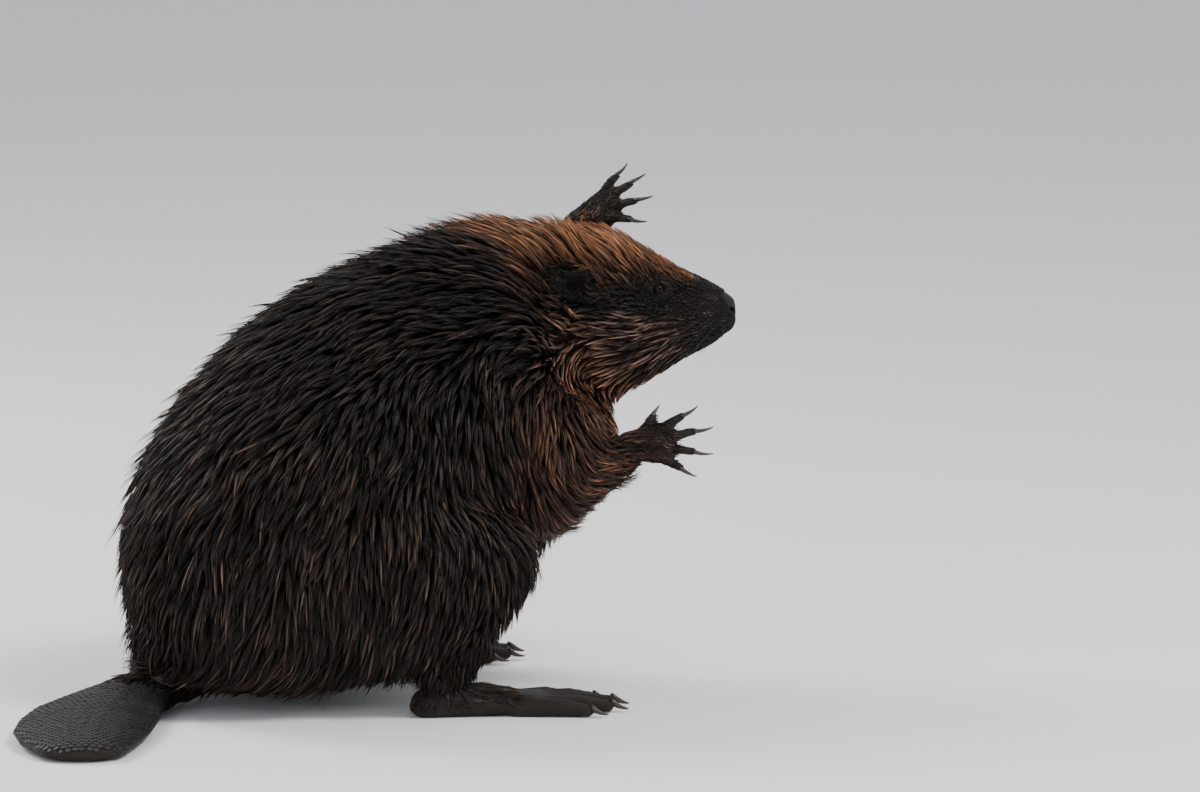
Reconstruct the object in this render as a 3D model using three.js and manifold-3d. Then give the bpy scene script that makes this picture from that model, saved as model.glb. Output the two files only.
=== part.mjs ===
// A life-size adult beaver, reared up on its hind legs with both forepaws raised in front of it.
// Millimetres. +X is forward, +Y is the animal's left, +Z is up, and the floor is z = 0.
// Every solid gives the outline out to the tips of the coat, and bare skin where there is none.

import * as THREE from 'three';
import { mergeVertices } from 'three/addons/utils/BufferGeometryUtils.js';
import Module from 'manifold-3d';

const wasm = await Module();
wasm.setup();

const GAP = 0.3; // left between two pieces that meet
const LEFT = 1;
const RIGHT = -1;

// ---- colours and finishes -------------------------------------------------------------------

const COAT = { color: 0x2b1f19, roughness: 0.6, metalness: 0 };
const CROWN = { color: 0x5a3a26, roughness: 0.6, metalness: 0 };
const MUZZLE = { color: 0x2c2828, roughness: 0.75, metalness: 0 };
const NOSE = { color: 0x1d1b1c, roughness: 0.45, metalness: 0 };
const EYE = { color: 0x070606, roughness: 0.06, metalness: 0 };
const PAW = { color: 0x201c1b, roughness: 0.6, metalness: 0 };
const CLAW = { color: 0x3c2a2a, roughness: 0.35, metalness: 0 };
const SCALE = { color: 0x2a2827, roughness: 0.55, metalness: 0 };

// ---- solids ---------------------------------------------------------------------------------

const vec = (x, y, z) => new THREE.Vector3(x, y, z);
const UP = vec(0, 0, 1);

function signedVolume(points, index) {
  let six = 0;
  for (let i = 0; i < index.length; i += 3) {
    const [a, b, c] = [points[index[i]], points[index[i + 1]], points[index[i + 2]]];
    six += a.dot(b.clone().cross(c));
  }
  return six / 6;
}

// A closed geometry becomes a solid that can be joined and cut.
function solid(geometry) {
  const bare = new THREE.BufferGeometry();
  bare.setAttribute('position', geometry.getAttribute('position').clone());
  if (geometry.index) bare.setIndex(geometry.index.clone());
  const merged = mergeVertices(bare, 1e-4);
  const vertProperties = new Float32Array(merged.getAttribute('position').array);
  const triVerts = new Uint32Array(merged.index.array);
  return new wasm.Manifold(new wasm.Mesh({ numProp: 3, vertProperties, triVerts }));
}

// Rings of points, all of one length, are skinned over and closed with a point at each end.
function skinOver(rings, firstPoint, lastPoint) {
  const sides = rings[0].length;
  const points = [firstPoint, ...rings.flat(), lastPoint];
  const last = points.length - 1;
  const at = (ring, side) => 1 + ring * sides + (side % sides);
  const index = [];
  for (let side = 0; side < sides; side++) {
    index.push(0, at(0, side + 1), at(0, side));
    for (let ring = 0; ring < rings.length - 1; ring++) {
      const corner = [at(ring, side), at(ring, side + 1), at(ring + 1, side + 1), at(ring + 1, side)];
      index.push(corner[0], corner[1], corner[2], corner[0], corner[2], corner[3]);
    }
    index.push(last, at(rings.length - 1, side), at(rings.length - 1, side + 1));
  }
  if (signedVolume(points, index) < 0) index.reverse();
  const geometry = new THREE.BufferGeometry().setFromPoints(points);
  geometry.setIndex(index);
  return geometry;
}

// One ring of a body: an oval with its own height above and below, squarer as power rises above 2.
function ring(section, sides, scale = 1) {
  const { centre, across, up, half, top, bottom, power = 2 } = section;
  const points = [];
  for (let i = 0; i < sides; i++) {
    const angle = (2 * Math.PI * i) / sides;
    const sideways = Math.sign(Math.cos(angle)) * Math.abs(Math.cos(angle)) ** (2 / power);
    const upwards = Math.sign(Math.sin(angle)) * Math.abs(Math.sin(angle)) ** (2 / power);
    const height = upwards > 0 ? top : bottom;
    const point = centre.clone();
    point.addScaledVector(across, scale * half * sideways);
    point.addScaledVector(up, scale * height * upwards);
    points.push(point);
  }
  return points;
}

// How far round a dome its rings lie: a large dome takes two rings, a small one takes one.
const LARGE_DOME = [Math.PI / 5.5, Math.PI / 2.9];
const SMALL_DOME = [Math.PI / 4];
const NO_DOME = [];

// A body lofted through sections, with a round dome of its own length over each end.
function loft(sectionAt, { rings, sides, domes = [0, 0], steps = [LARGE_DOME, LARGE_DOME], grow = 0 }) {
  const grown = (t) => {
    const section = sectionAt(t);
    const bigger = { half: section.half + grow, top: section.top + grow, bottom: section.bottom + grow };
    return { ...section, ...bigger };
  };
  const domeRings = (t, length, angles) => {
    const end = grown(t);
    const inner = grown(t < 0.5 ? 0.02 : 0.98);
    const outward = end.centre.clone().sub(inner.centre).normalize();
    const shifted = (angle) => ({
      ...end,
      centre: end.centre.clone().addScaledVector(outward, (length + grow) * Math.sin(angle)),
    });
    const made = angles.map((angle) => ring(shifted(angle), sides, Math.cos(angle)));
    return { made, tip: shifted(Math.PI / 2).centre };
  };
  const first = domeRings(0, domes[0], steps[0]);
  const last = domeRings(1, domes[1], steps[1]);
  const middle = [];
  for (let i = 0; i < rings; i++) middle.push(ring(grown(i / (rings - 1)), sides));
  const all = [...first.made.reverse(), ...middle, ...last.made];
  return solid(skinOver(all, first.tip, last.tip));
}

// Stations name a few sections, and this gives the smooth section anywhere between them.
function between(stations) {
  const centres = new THREE.CatmullRomCurve3(stations.map((s) => s.centre));
  const girths = new THREE.CatmullRomCurve3(stations.map((s) => vec(s.half, s.top, s.bottom)));
  const uprights = new THREE.CatmullRomCurve3(stations.map((s) => s.up));
  const powers = new THREE.CatmullRomCurve3(stations.map((s, i) => vec(i, s.power ?? 2, 0)));
  return (t) => {
    const girth = girths.getPoint(t);
    const up = uprights.getPoint(t).normalize();
    const along = centres.getTangent(t);
    const across = up.clone().cross(along).normalize();
    const sizes = { half: girth.x, top: girth.y, bottom: girth.z, power: powers.getPoint(t).y };
    return { centre: centres.getPoint(t), up, across, ...sizes };
  };
}

// A limb, digit or claw: a path of points, each with its half width and half thickness.
function limb(path, girths, { up = UP, power = 2, ...options }) {
  const curve = new THREE.CatmullRomCurve3(path);
  const stations = path.map((centre, i) => {
    const along = curve.getTangent(i / (path.length - 1));
    const upright = up.clone().addScaledVector(along, -up.dot(along)).normalize();
    const [half, thick] = girths[i];
    return { centre, up: upright, half, top: thick, bottom: thick, power };
  });
  return loft(between(stations), options);
}

function joined(pieces) {
  return pieces.reduce((whole, piece) => whole.add(piece));
}

// All that lies under the floor is cut off flat.
const BELOW_FLOOR = solid(new THREE.BoxGeometry(2000, 2000, 200).translate(0, 0, -100));

function onFloor(piece) {
  return piece.subtract(BELOW_FLOOR);
}

const beaver = new THREE.Group();

function addPiece(name, piece, finish) {
  const mesh = piece.getMesh();
  const geometry = new THREE.BufferGeometry();
  geometry.setAttribute('position', new THREE.BufferAttribute(new Float32Array(mesh.vertProperties), 3));
  geometry.setIndex(new THREE.BufferAttribute(new Uint32Array(mesh.triVerts), 1));
  geometry.computeVertexNormals();
  const part = new THREE.Mesh(geometry, new THREE.MeshStandardMaterial(finish));
  part.name = name;
  beaver.add(part);
}

const sideName = (side) => (side === LEFT ? 'left' : 'right');

// ---- trunk and chest ------------------------------------------------------------------------

// From the rump to the shoulders, each station is a point on the back, one on the belly and the
// half width between the flanks. The stations fan out round the folded belly.
const TRUNK = [
  { back: [-247, 62], belly: [-205, 22], half: 60 },
  { back: [-257, 128], belly: [-160, 9], half: 104 },
  { back: [-238, 200], belly: [-112, 7], half: 131 },
  { back: [-192, 266], belly: [-66, 12], half: 142 },
  { back: [-136, 318], belly: [-24, 28], half: 143 },
  { back: [-70, 354], belly: [18, 56], half: 136 },
  { back: [-12, 371], belly: [50, 84], half: 126 },
  { back: [36, 380], belly: [76, 106], half: 114 },
];
const RUMP_DOME = 16;
const SHOULDER_DOME = 42;
const TRUNK_POWER = 2.15;

function trunk(grow = 0) {
  const stations = TRUNK.map(({ back, belly, half }) => {
    const onBack = vec(back[0], 0, back[1]);
    const onBelly = vec(belly[0], 0, belly[1]);
    const height = onBack.distanceTo(onBelly) / 2;
    const centre = onBack.clone().add(onBelly).multiplyScalar(0.5);
    const up = onBack.clone().sub(onBelly).normalize();
    return { centre, up, half, top: height, bottom: height, power: TRUNK_POWER };
  });
  return loft(between(stations), { rings: 13, sides: 24, domes: [RUMP_DOME, SHOULDER_DOME], grow });
}

// The chest stands out in front between the forelegs, below the throat.
function chest(grow = 0) {
  const path = [vec(20, 0, 196), vec(72, 0, 199), vec(112, 0, 204)];
  const girths = [[110, 100], [101, 84], [80, 60]];
  const round = { rings: 4, sides: 14, domes: [20, 46], steps: [NO_DOME, LARGE_DOME], grow };
  return limb(path, girths, { power: 2.1, ...round });
}

// ---- head -----------------------------------------------------------------------------------

// The head's own frame: x forward with 0 at the nose tip, y left, z up through the crown.
const NOSE_TIP = vec(253, -42, 307);
const HEAD_YAW = THREE.MathUtils.degToRad(-20);
const HEAD_ROLL = THREE.MathUtils.degToRad(8);
const headFrame = new THREE.Matrix4()
  .makeTranslation(NOSE_TIP)
  .multiply(new THREE.Matrix4().makeRotationZ(HEAD_YAW))
  .multiply(new THREE.Matrix4().makeRotationX(HEAD_ROLL));

function inHead(x, y, z) {
  return vec(x, y, z).applyMatrix4(headFrame);
}

function turnedWithHead(x, y, z) {
  return vec(x, y, z).transformDirection(headFrame);
}

// Distance back from the nose tip, half width, and height above and below the line of the head.
const HEAD = [
  { back: 4, half: 16, top: 13, bottom: 14 },
  { back: 12, half: 25, top: 19, bottom: 20 },
  { back: 26, half: 30, top: 27, bottom: 30 },
  { back: 40, half: 34, top: 34, bottom: 37 },
  { back: 55, half: 41, top: 41, bottom: 47 },
  { back: 70, half: 49, top: 51, bottom: 57 },
  { back: 84, half: 55, top: 63, bottom: 65 },
  { back: 104, half: 61, top: 69, bottom: 73 },
  { back: 128, half: 60, top: 71, bottom: 71 },
];
const MUZZLE_DOME = 4;
const NAPE_DOME = 22;

function wholeHead(grow = 0) {
  const up = turnedWithHead(0, 0, 1);
  const stations = HEAD.map(({ back, ...girth }) => {
    return { centre: inHead(-back, 0, 0), up, power: 2.2, ...girth };
  });
  const ends = { domes: [MUZZLE_DOME, NAPE_DOME], steps: [SMALL_DOME, SMALL_DOME] };
  return loft(between(stations), { rings: 11, sides: 18, ...ends, grow });
}

// A block that reaches right through the head, its outline drawn from the side.
function acrossHead(outline) {
  const shape = new THREE.Shape(outline.map(([x, z]) => new THREE.Vector2(x, z)));
  const block = new THREE.ExtrudeGeometry(shape, { depth: 240, bevelEnabled: false });
  return solid(block.rotateX(Math.PI / 2).translate(0, 120, 0).applyMatrix4(headFrame));
}

// The head is parted from the neck behind the ears and below the jowls.
function headBlock(gap = 0) {
  const [nape, nick, throat] = [-152 - gap, -112 - gap, -79 - gap];
  return acrossHead([[20, 140], [nape, 140], [nape + 10, 0], [nick, throat], [20, throat]]);
}

// The lower jaw is parted from the head along the closed mouth and behind its corner.
function jawBlock(gap = 0) {
  const [corner, hinge] = [-58 - gap, -80 - gap];
  return acrossHead([[20, -15 + gap], [corner, -20 + gap], [hinge, -46 + gap], [hinge, -130], [20, -130]]);
}

const NOSE_PAD = { back: 9, rise: 4, radii: [9.5, 17, 12] };

function nosePad(grow = 0) {
  const [long, wide, high] = NOSE_PAD.radii;
  const pad = new THREE.SphereGeometry(1, 10, 7);
  pad.scale(long + grow, wide + grow, high + grow);
  pad.translate(-NOSE_PAD.back, 0, NOSE_PAD.rise).applyMatrix4(headFrame);
  return solid(pad);
}

const EYE_BALL = { back: 65, side: 35.8, rise: 28.5, radius: 5.6 };

function eyeBall(side, grow = 0) {
  const ball = new THREE.SphereGeometry(EYE_BALL.radius + grow, 8, 6);
  ball.translate(-EYE_BALL.back, side * EYE_BALL.side, EYE_BALL.rise).applyMatrix4(headFrame);
  return solid(ball);
}

// The ear is a small thick leaf, leaning out and back from the side of the head.
const EAR = { back: 124, side: 46, rise: 30, length: 34, halfWidth: 13, halfThick: 5 };
const EAR_LEAN = vec(-0.45, 0.68, 0.56).normalize();

function ear(side, grow = 0) {
  const root = vec(-EAR.back, side * EAR.side, EAR.rise);
  const lean = vec(EAR_LEAN.x, side * EAR_LEAN.y, EAR_LEAN.z);
  const shape = [[0, 0.6], [0.35, 1], [0.7, 1], [0.9, 0.72]];
  const path = shape.map(([t]) => root.clone().addScaledVector(lean, t * EAR.length));
  const girths = shape.map(([, wide]) => [EAR.halfWidth * wide, EAR.halfThick * wide]);
  const up = turnedWithHead(0.35, side, -0.45);
  const placed = path.map((point) => point.applyMatrix4(headFrame));
  const round = { rings: 4, sides: 10, domes: [2, 4], steps: [NO_DOME, SMALL_DOME], grow };
  return limb(placed, girths, { up, ...round });
}

// ---- neck -----------------------------------------------------------------------------------

// The neck turns from the trunk's line to the head's, under a thick ruff of coat.
const NECK = [
  { at: [4, 0, 266], half: 110, top: 110, bottom: 100 },
  { at: [50, 1, 284], half: 91, top: 101, bottom: 90 },
  { at: [84, 4, 296], half: 74, top: 92, bottom: 82 },
  { at: [110, 6, 302], half: 62, top: 82, bottom: 74 },
  { at: [136, 0, 306], half: 50, top: 64, bottom: 58 },
];

function neck(grow = 0) {
  const stations = NECK.map(({ at, half, top, bottom }, i) => {
    const share = i / (NECK.length - 1);
    const up = UP.clone().lerp(turnedWithHead(0, 0, 1), share).normalize();
    return { centre: vec(...at), up, half, top, bottom, power: 2.1 };
  });
  return loft(between(stations), { rings: 5, sides: 16, domes: [6, 8], steps: [NO_DOME, NO_DOME], grow });
}

// Everything on the front side of a slanting plane across the body, given by where the plane
// meets the back and the belly.
function inFrontOf([backX, backZ], [bellyX, bellyZ], gap = 0) {
  const slope = new THREE.Vector2(bellyX - backX, bellyZ - backZ).normalize();
  const ahead = new THREE.Vector2(-slope.y, slope.x);
  const start = new THREE.Vector2(backX, backZ).addScaledVector(ahead, gap);
  const [far, wide] = [900, 900];
  const corners = [
    start.clone().addScaledVector(slope, -far),
    start.clone().addScaledVector(slope, far),
    start.clone().addScaledVector(slope, far).addScaledVector(ahead, far),
    start.clone().addScaledVector(slope, -far).addScaledVector(ahead, far),
  ];
  const block = new THREE.ExtrudeGeometry(new THREE.Shape(corners), { depth: wide, bevelEnabled: false });
  return solid(block.rotateX(Math.PI / 2).translate(0, wide / 2, 0));
}

const NECK_CUT = [[66, 390], [146, 222]];
const CHEST_CUT = [[-30, 372], [52, 84]];

// ---- forelegs -------------------------------------------------------------------------------

// Each foreleg has its own reach: the left is stretched up past the head, the right is held low.
const FORELEGS = {
  [LEFT]: {
    shoulder: vec(78, 62, 236),
    elbow: vec(112, 100, 290),
    wrist: vec(168, 88, 374),
    fingers: vec(0.5, -0.75, 0.46),
    backOfHand: vec(-0.85, -0.45, 0.26),
  },
  [RIGHT]: {
    shoulder: vec(78, -62, 226),
    elbow: vec(62, -98, 160),
    wrist: vec(148, -78, 205),
    fingers: vec(0.78, -0.6, 0.16),
    backOfHand: vec(-0.6, -0.78, 0.15),
  },
};

function bent(from, to, bulge) {
  return from.clone().lerp(to, 0.5).add(bulge);
}

function upperArm(side, grow = 0) {
  const { shoulder, elbow } = FORELEGS[side];
  const path = [shoulder, bent(shoulder, elbow, vec(0, side * 8, 0)), elbow];
  const girths = [[52, 46], [46, 39], [33, 29]];
  return limb(path, girths, { up: vec(0, side, 0.2), rings: 5, sides: 12, domes: [20, 22], grow });
}

function forearm(side, grow = 0) {
  const { elbow, wrist } = FORELEGS[side];
  const path = [elbow, elbow.clone().lerp(wrist, 0.35), elbow.clone().lerp(wrist, 0.7), wrist];
  const girths = [[23, 22], [26, 25], [19, 18], [13, 11.5]];
  const round = { rings: 5, sides: 12, domes: [6, 4], steps: [NO_DOME, SMALL_DOME], grow };
  return limb(path, girths, { up: vec(0, side, 0.3), ...round });
}

// A hand's frame: x along the fingers, z out of the back of the hand, 0 at the wrist.
function handFrame(side) {
  const { wrist, fingers, backOfHand } = FORELEGS[side];
  const z = backOfHand.clone().normalize();
  const x = fingers.clone().addScaledVector(z, -fingers.dot(z)).normalize();
  const y = z.clone().cross(x);
  return new THREE.Matrix4().makeBasis(x, y, z).setPosition(wrist);
}

// Five fingers from the thumb outward: where each leaves the palm, how far it fans out, its length.
const FINGERS = [
  { start: 14, across: -13, fan: -58, length: 12, claw: 9 },
  { start: 27, across: -11, fan: -27, length: 20, claw: 14 },
  { start: 31, across: -3.5, fan: -7, length: 23, claw: 15 },
  { start: 30, across: 5, fan: 13, length: 22, claw: 15 },
  { start: 25, across: 12, fan: 36, length: 18, claw: 13 },
];

// A digit's root and direction, as a function that gives points along it at chosen heights.
function reach(start, across, fan, side) {
  const angle = THREE.MathUtils.degToRad(fan) * side;
  const out = vec(Math.cos(angle), Math.sin(angle), 0);
  const root = vec(start, side * across, 0);
  return (distance, height) => root.clone().addScaledVector(out, distance).setZ(height);
}

const DIGIT = { rings: 4, sides: 5, domes: [1, 3], steps: [NO_DOME, SMALL_DOME] };
const NAIL = { rings: 3, sides: 4, domes: [0.6, 0.9], steps: [NO_DOME, NO_DOME] };

// A digit and the nail on its end, the nail cut where it meets the digit.
function digitAndNail(path, girths, nailPath, nailGirths, up) {
  const digit = limb(path, girths, { up, ...DIGIT });
  const room = limb(path, girths, { up, grow: GAP, ...DIGIT });
  return { digit, nail: limb(nailPath, nailGirths, { up, ...NAIL }).subtract(room) };
}

// A finger bends down at its knuckle, and its claw carries on from it in a curve.
function finger({ start, across, fan, length, claw }, side, frame, up) {
  const along = reach(start, across, fan, side);
  const path = [along(-8, 0), along(0, 1.5), along(length * 0.55, 2.2), along(length, -1.5)];
  const nail = [along(length - 1, 0), along(length + claw * 0.55, 0.2), along(length + claw, -4.5)];
  const placed = (points) => points.map((point) => point.applyMatrix4(frame));
  const girths = [[5, 4.6], [4.9, 4.6], [4.5, 4.3], [3.9, 3.7]];
  return digitAndNail(placed(path), girths, placed(nail), [[2.6, 2.5], [2.1, 2.2], [0.8, 0.8]], up);
}

function handSolids(side) {
  const frame = handFrame(side);
  const up = vec(0, 0, 1).transformDirection(frame);
  const inHand = (x, z) => vec(x, 0, z).applyMatrix4(frame);
  const palmPath = [inHand(0, 0), inHand(12, 0.5), inHand(24, 0), inHand(34, -1)];
  const palmGirths = [[11.5, 9.5], [15, 9], [17.5, 8], [14, 6]];
  const round = { rings: 4, sides: 9, domes: [5, 3], steps: [SMALL_DOME, NO_DOME] };
  const palm = limb(palmPath, palmGirths, { up, ...round });
  const fingers = FINGERS.map((one) => finger(one, side, frame, up));
  return { hand: joined([palm, ...fingers.map((one) => one.digit)]), nails: fingers.map((one) => one.nail) };
}

// ---- hind legs ------------------------------------------------------------------------------

const HIP = [-96, 74, 122];
const MID_THIGH = [-40, 106, 116];
const KNEE = [29, 118, 122];
const SHIN = [-10, 121, 70];
const ANKLE = [-36, 116, 30];

function onSide([x, y, z], side) {
  return vec(x, side * y, z);
}

function thigh(side, grow = 0) {
  const path = [HIP, MID_THIGH, KNEE].map((point) => onSide(point, side));
  const girths = [[94, 62], [84, 50], [38, 31]];
  return limb(path, girths, { up: vec(0, side, 0), rings: 5, sides: 16, domes: [34, 24], grow });
}

function shank(side, grow = 0) {
  const path = [KNEE, SHIN, ANKLE].map((point) => onSide(point, side));
  const girths = [[24, 22], [29, 25], [19, 17]];
  const round = { rings: 4, sides: 12, domes: [2, 8], steps: [NO_DOME, SMALL_DOME] };
  return limb(path, girths, { up: vec(0, side, 0), ...round, grow });
}

// The foot is flat on the floor: a heel and instep, five toes and the web between them.
const HEEL = [-48, 112];
const TURN_OUT = 5;
const TOES = [
  { start: 92, across: -21, fan: -17, length: 40, half: 7 },
  { start: 99, across: -11, fan: -9, length: 53, half: 8 },
  { start: 101, across: 1, fan: 0, length: 60, half: 9 },
  { start: 98, across: 13, fan: 9, length: 57, half: 9 },
  { start: 88, across: 23, fan: 20, length: 48, half: 8 },
];
const TOE_CLAW = 14;
const WEB_THICK = 3.2;
const WEB_REACH = 0.86; // how far along each toe the web's edge lies
const WEB_DIP = 14; // how far that edge dips back between two toes
const WEB_START = 16; // how far behind the toes' roots the web begins

// A foot's frame: x from the heel to the toes, y to the left, z up, 0 on the floor.
function footFrame(side) {
  const turn = THREE.MathUtils.degToRad(TURN_OUT) * side;
  const heel = vec(HEEL[0], side * HEEL[1], 0);
  return new THREE.Matrix4().makeTranslation(heel).multiply(new THREE.Matrix4().makeRotationZ(turn));
}

function toe({ start, across, fan, length, half }, side, frame) {
  const along = reach(start, across, fan, side);
  const path = [along(-16, 8), along(0, 8), along(length * 0.6, 7.5), along(length, 4.5)];
  const nail = [along(length - 1, 6.5), along(length + TOE_CLAW * 0.55, 6.8), along(length + TOE_CLAW, 2.4)];
  const placed = (points) => points.map((point) => point.applyMatrix4(frame));
  const girths = [[half, 7.5], [half, 7.5], [half * 0.86, 7], [half * 0.66, 5.2]];
  const nailGirths = [[3.7, 3.2], [3.1, 2.8], [1.2, 1.2]];
  const made = digitAndNail(placed(path), girths, placed(nail), nailGirths, UP);
  return { end: along(length * WEB_REACH, 0), ...made };
}

// The web's outline runs along the toes' ends and dips between them.
function web(side, frame, ends) {
  const outline = new THREE.Shape();
  const [first, last] = [TOES[0], TOES[TOES.length - 1]];
  outline.moveTo(first.start - WEB_START, side * first.across);
  outline.lineTo(ends[0].x, ends[0].y);
  for (let i = 1; i < ends.length; i++) {
    const middle = ends[i - 1].clone().add(ends[i]).multiplyScalar(0.5);
    outline.quadraticCurveTo(middle.x - WEB_DIP, middle.y, ends[i].x, ends[i].y);
  }
  outline.lineTo(last.start - WEB_START, side * last.across);
  outline.closePath();
  const flat = { depth: WEB_THICK, bevelEnabled: false, curveSegments: 2 };
  return solid(new THREE.ExtrudeGeometry(outline, flat).applyMatrix4(frame));
}

function footSolids(side) {
  const frame = footFrame(side);
  const inFoot = (x, y, z) => vec(x, side * y, z).applyMatrix4(frame);
  const solePath = [inFoot(4, 0, 9), inFoot(34, 0, 11), inFoot(70, 1, 9), inFoot(104, 2, 7)];
  const soleGirths = [[13, 13], [17, 15], [24, 11], [28, 7.5]];
  const round = { rings: 5, sides: 9, domes: [10, 5], steps: [SMALL_DOME, NO_DOME], power: 2.3 };
  const sole = limb(solePath, soleGirths, round);
  const toes = TOES.map((one) => toe(one, side, frame));
  const skin = web(side, frame, toes.map((one) => one.end));
  const foot = onFloor(joined([sole, skin, ...toes.map((one) => one.digit)]));
  return { foot, nails: toes.map((one) => onFloor(one.nail)) };
}

// ---- tail -----------------------------------------------------------------------------------

// A short furred root, then the broad scaly paddle, laid flat and swung to the animal's right.
const TAIL_PATH = [
  vec(-172, 0, 50),
  vec(-206, -3, 34),
  vec(-238, -11, 18),
  vec(-281, -37, 10.5),
  vec(-313, -82, 8.5),
  vec(-336, -134, 7.5),
  vec(-350, -188, 6.5),
];
const TAIL_ROOT_GIRTHS = [[38, 36], [33, 27], [27, 16]];
const TAIL_GIRTHS = [[27, 15], [44, 12.5], [56, 10.5], [55, 9.5], [38, 8]];
const ROOT_POINTS = TAIL_ROOT_GIRTHS.length;

function tailRoot(grow = 0) {
  const path = TAIL_PATH.slice(0, ROOT_POINTS);
  const round = { rings: 4, sides: 12, domes: [10, 6], steps: [NO_DOME, SMALL_DOME], grow };
  return onFloor(limb(path, TAIL_ROOT_GIRTHS, round));
}

function tailPaddle() {
  const path = TAIL_PATH.slice(ROOT_POINTS - 1);
  return onFloor(limb(path, TAIL_GIRTHS, { rings: 8, sides: 14, domes: [4, 24] }));
}

// ---- the pieces, parted so that each only meets its neighbours -------------------------------

const wholeBody = joined([trunk(), chest(), neck(), wholeHead()]);
const bodyRoom = joined([trunk(GAP), chest(GAP), neck(GAP), wholeHead(GAP)]);

const face = joined([nosePad(GAP), eyeBall(LEFT, GAP), eyeBall(RIGHT, GAP)]);
const head = wholeBody.intersect(headBlock()).subtract(face);
addPiece('head', head.subtract(jawBlock(GAP)), CROWN);
addPiece('lower_jaw', head.intersect(jawBlock()), MUZZLE);
addPiece('nose', nosePad(), NOSE);

const headless = wholeBody.subtract(headBlock(GAP));
addPiece('neck', headless.intersect(inFrontOf(...NECK_CUT)), CROWN);
const neckless = headless.subtract(inFrontOf(...NECK_CUT, -GAP));
addPiece('chest', neckless.intersect(inFrontOf(...CHEST_CUT)), COAT);
addPiece('trunk', neckless.subtract(inFrontOf(...CHEST_CUT, -GAP)), COAT);

for (const side of [LEFT, RIGHT]) {
  const name = sideName(side);
  addPiece(`eye_${name}`, eyeBall(side), EYE);
  addPiece(`ear_${name}`, ear(side).subtract(bodyRoom), COAT);

  addPiece(`upper_arm_${name}`, upperArm(side).subtract(bodyRoom), COAT);
  const armRoom = bodyRoom.add(upperArm(side, GAP));
  addPiece(`forearm_${name}`, forearm(side).subtract(armRoom), COAT);
  const { hand, nails } = handSolids(side);
  addPiece(`forepaw_${name}`, hand.subtract(forearm(side, GAP)), PAW);
  nails.forEach((nail, i) => addPiece(`fore_claw_${name}_${i + 1}`, nail, CLAW));

  const elbowRoom = armRoom.add(forearm(side, GAP));
  addPiece(`thigh_${name}`, thigh(side).subtract(elbowRoom), COAT);
  const thighRoom = bodyRoom.add(thigh(side, GAP));
  addPiece(`shank_${name}`, onFloor(shank(side).subtract(thighRoom)), COAT);
  const legRoom = thighRoom.add(shank(side, GAP));
  const { foot, nails: toeNails } = footSolids(side);
  addPiece(`hind_foot_${name}`, foot.subtract(legRoom), PAW);
  toeNails.forEach((nail, i) => addPiece(`hind_claw_${name}_${i + 1}`, nail, CLAW));
}

addPiece('tail_root', tailRoot().subtract(bodyRoom), COAT);
addPiece('tail', tailPaddle().subtract(tailRoot(GAP)).subtract(bodyRoom), SCALE);

// The origin is the middle of the whole animal's footprint, on the floor.
const middle = new THREE.Box3().setFromObject(beaver).getCenter(new THREE.Vector3());
beaver.position.set(-middle.x, -middle.y, 0);

export default beaver;
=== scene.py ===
"""A life-size beaver, reared up on its hind legs in its wet winter coat.

The frame gives the outline out to the tips of the coat. One skin lies inside it by the coat's
depth, and locks of fur grow from the skin out to that outline. Millimetres in the tables below
are in the animal's own frame: x forward, y to its left, z up from the floor.
"""

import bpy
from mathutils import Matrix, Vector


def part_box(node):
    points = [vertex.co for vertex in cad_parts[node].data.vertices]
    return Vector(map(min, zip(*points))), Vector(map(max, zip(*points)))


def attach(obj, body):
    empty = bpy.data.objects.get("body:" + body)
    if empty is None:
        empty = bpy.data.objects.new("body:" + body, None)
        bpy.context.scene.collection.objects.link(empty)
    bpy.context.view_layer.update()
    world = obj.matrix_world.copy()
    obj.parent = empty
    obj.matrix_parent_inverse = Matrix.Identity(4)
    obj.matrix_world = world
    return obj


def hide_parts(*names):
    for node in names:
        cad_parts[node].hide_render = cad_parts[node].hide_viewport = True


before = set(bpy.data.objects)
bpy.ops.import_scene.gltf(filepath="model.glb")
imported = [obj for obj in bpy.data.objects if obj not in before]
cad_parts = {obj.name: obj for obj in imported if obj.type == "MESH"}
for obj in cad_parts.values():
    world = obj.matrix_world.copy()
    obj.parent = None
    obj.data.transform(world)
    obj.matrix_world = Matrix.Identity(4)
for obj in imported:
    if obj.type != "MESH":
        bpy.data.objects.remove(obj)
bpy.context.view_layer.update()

import math

import bmesh
import bpy
import numpy as np
from mathutils import Matrix, Vector, noise
from mathutils.bvhtree import BVHTree
from mathutils.kdtree import KDTree

bl_info = {
    "name": "Beaver",
    "version": (1, 0, 0),
    "blender": (4, 5, 0),
    "location": "View3D > Sidebar > Beaver",
    "description": "Builds a life-size beaver around its packed frame",
    "category": "Object",
}

MM = 0.001
SIDES = {"left": 1, "right": -1}

# ---- the animal's frames --------------------------------------------------------------------


def middle_of(node):
    """The middle of a frame node's box."""
    low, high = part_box(node)
    return np.array((low + high) / 2)


# The head's frame: x forward with 0 at the nose tip, y left, z up through the crown.
HEAD_TURN = math.radians(-20)
HEAD_ROLL = math.radians(8)
HEAD_AXES = np.array(Matrix.Rotation(HEAD_TURN, 3, "Z") @ Matrix.Rotation(HEAD_ROLL, 3, "X"))
NOSE_CENTRE = np.array((-9, 0, 4)) * MM
NOSE_TIP = middle_of("nose") - HEAD_AXES @ NOSE_CENTRE
BODY_ORIGIN = NOSE_TIP - np.array((253, -42, 307)) * MM


def in_body(points):
    return BODY_ORIGIN + np.asarray(points, float) * MM


def in_head(points):
    return NOSE_TIP + np.asarray(points, float) * MM @ HEAD_AXES.T


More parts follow.
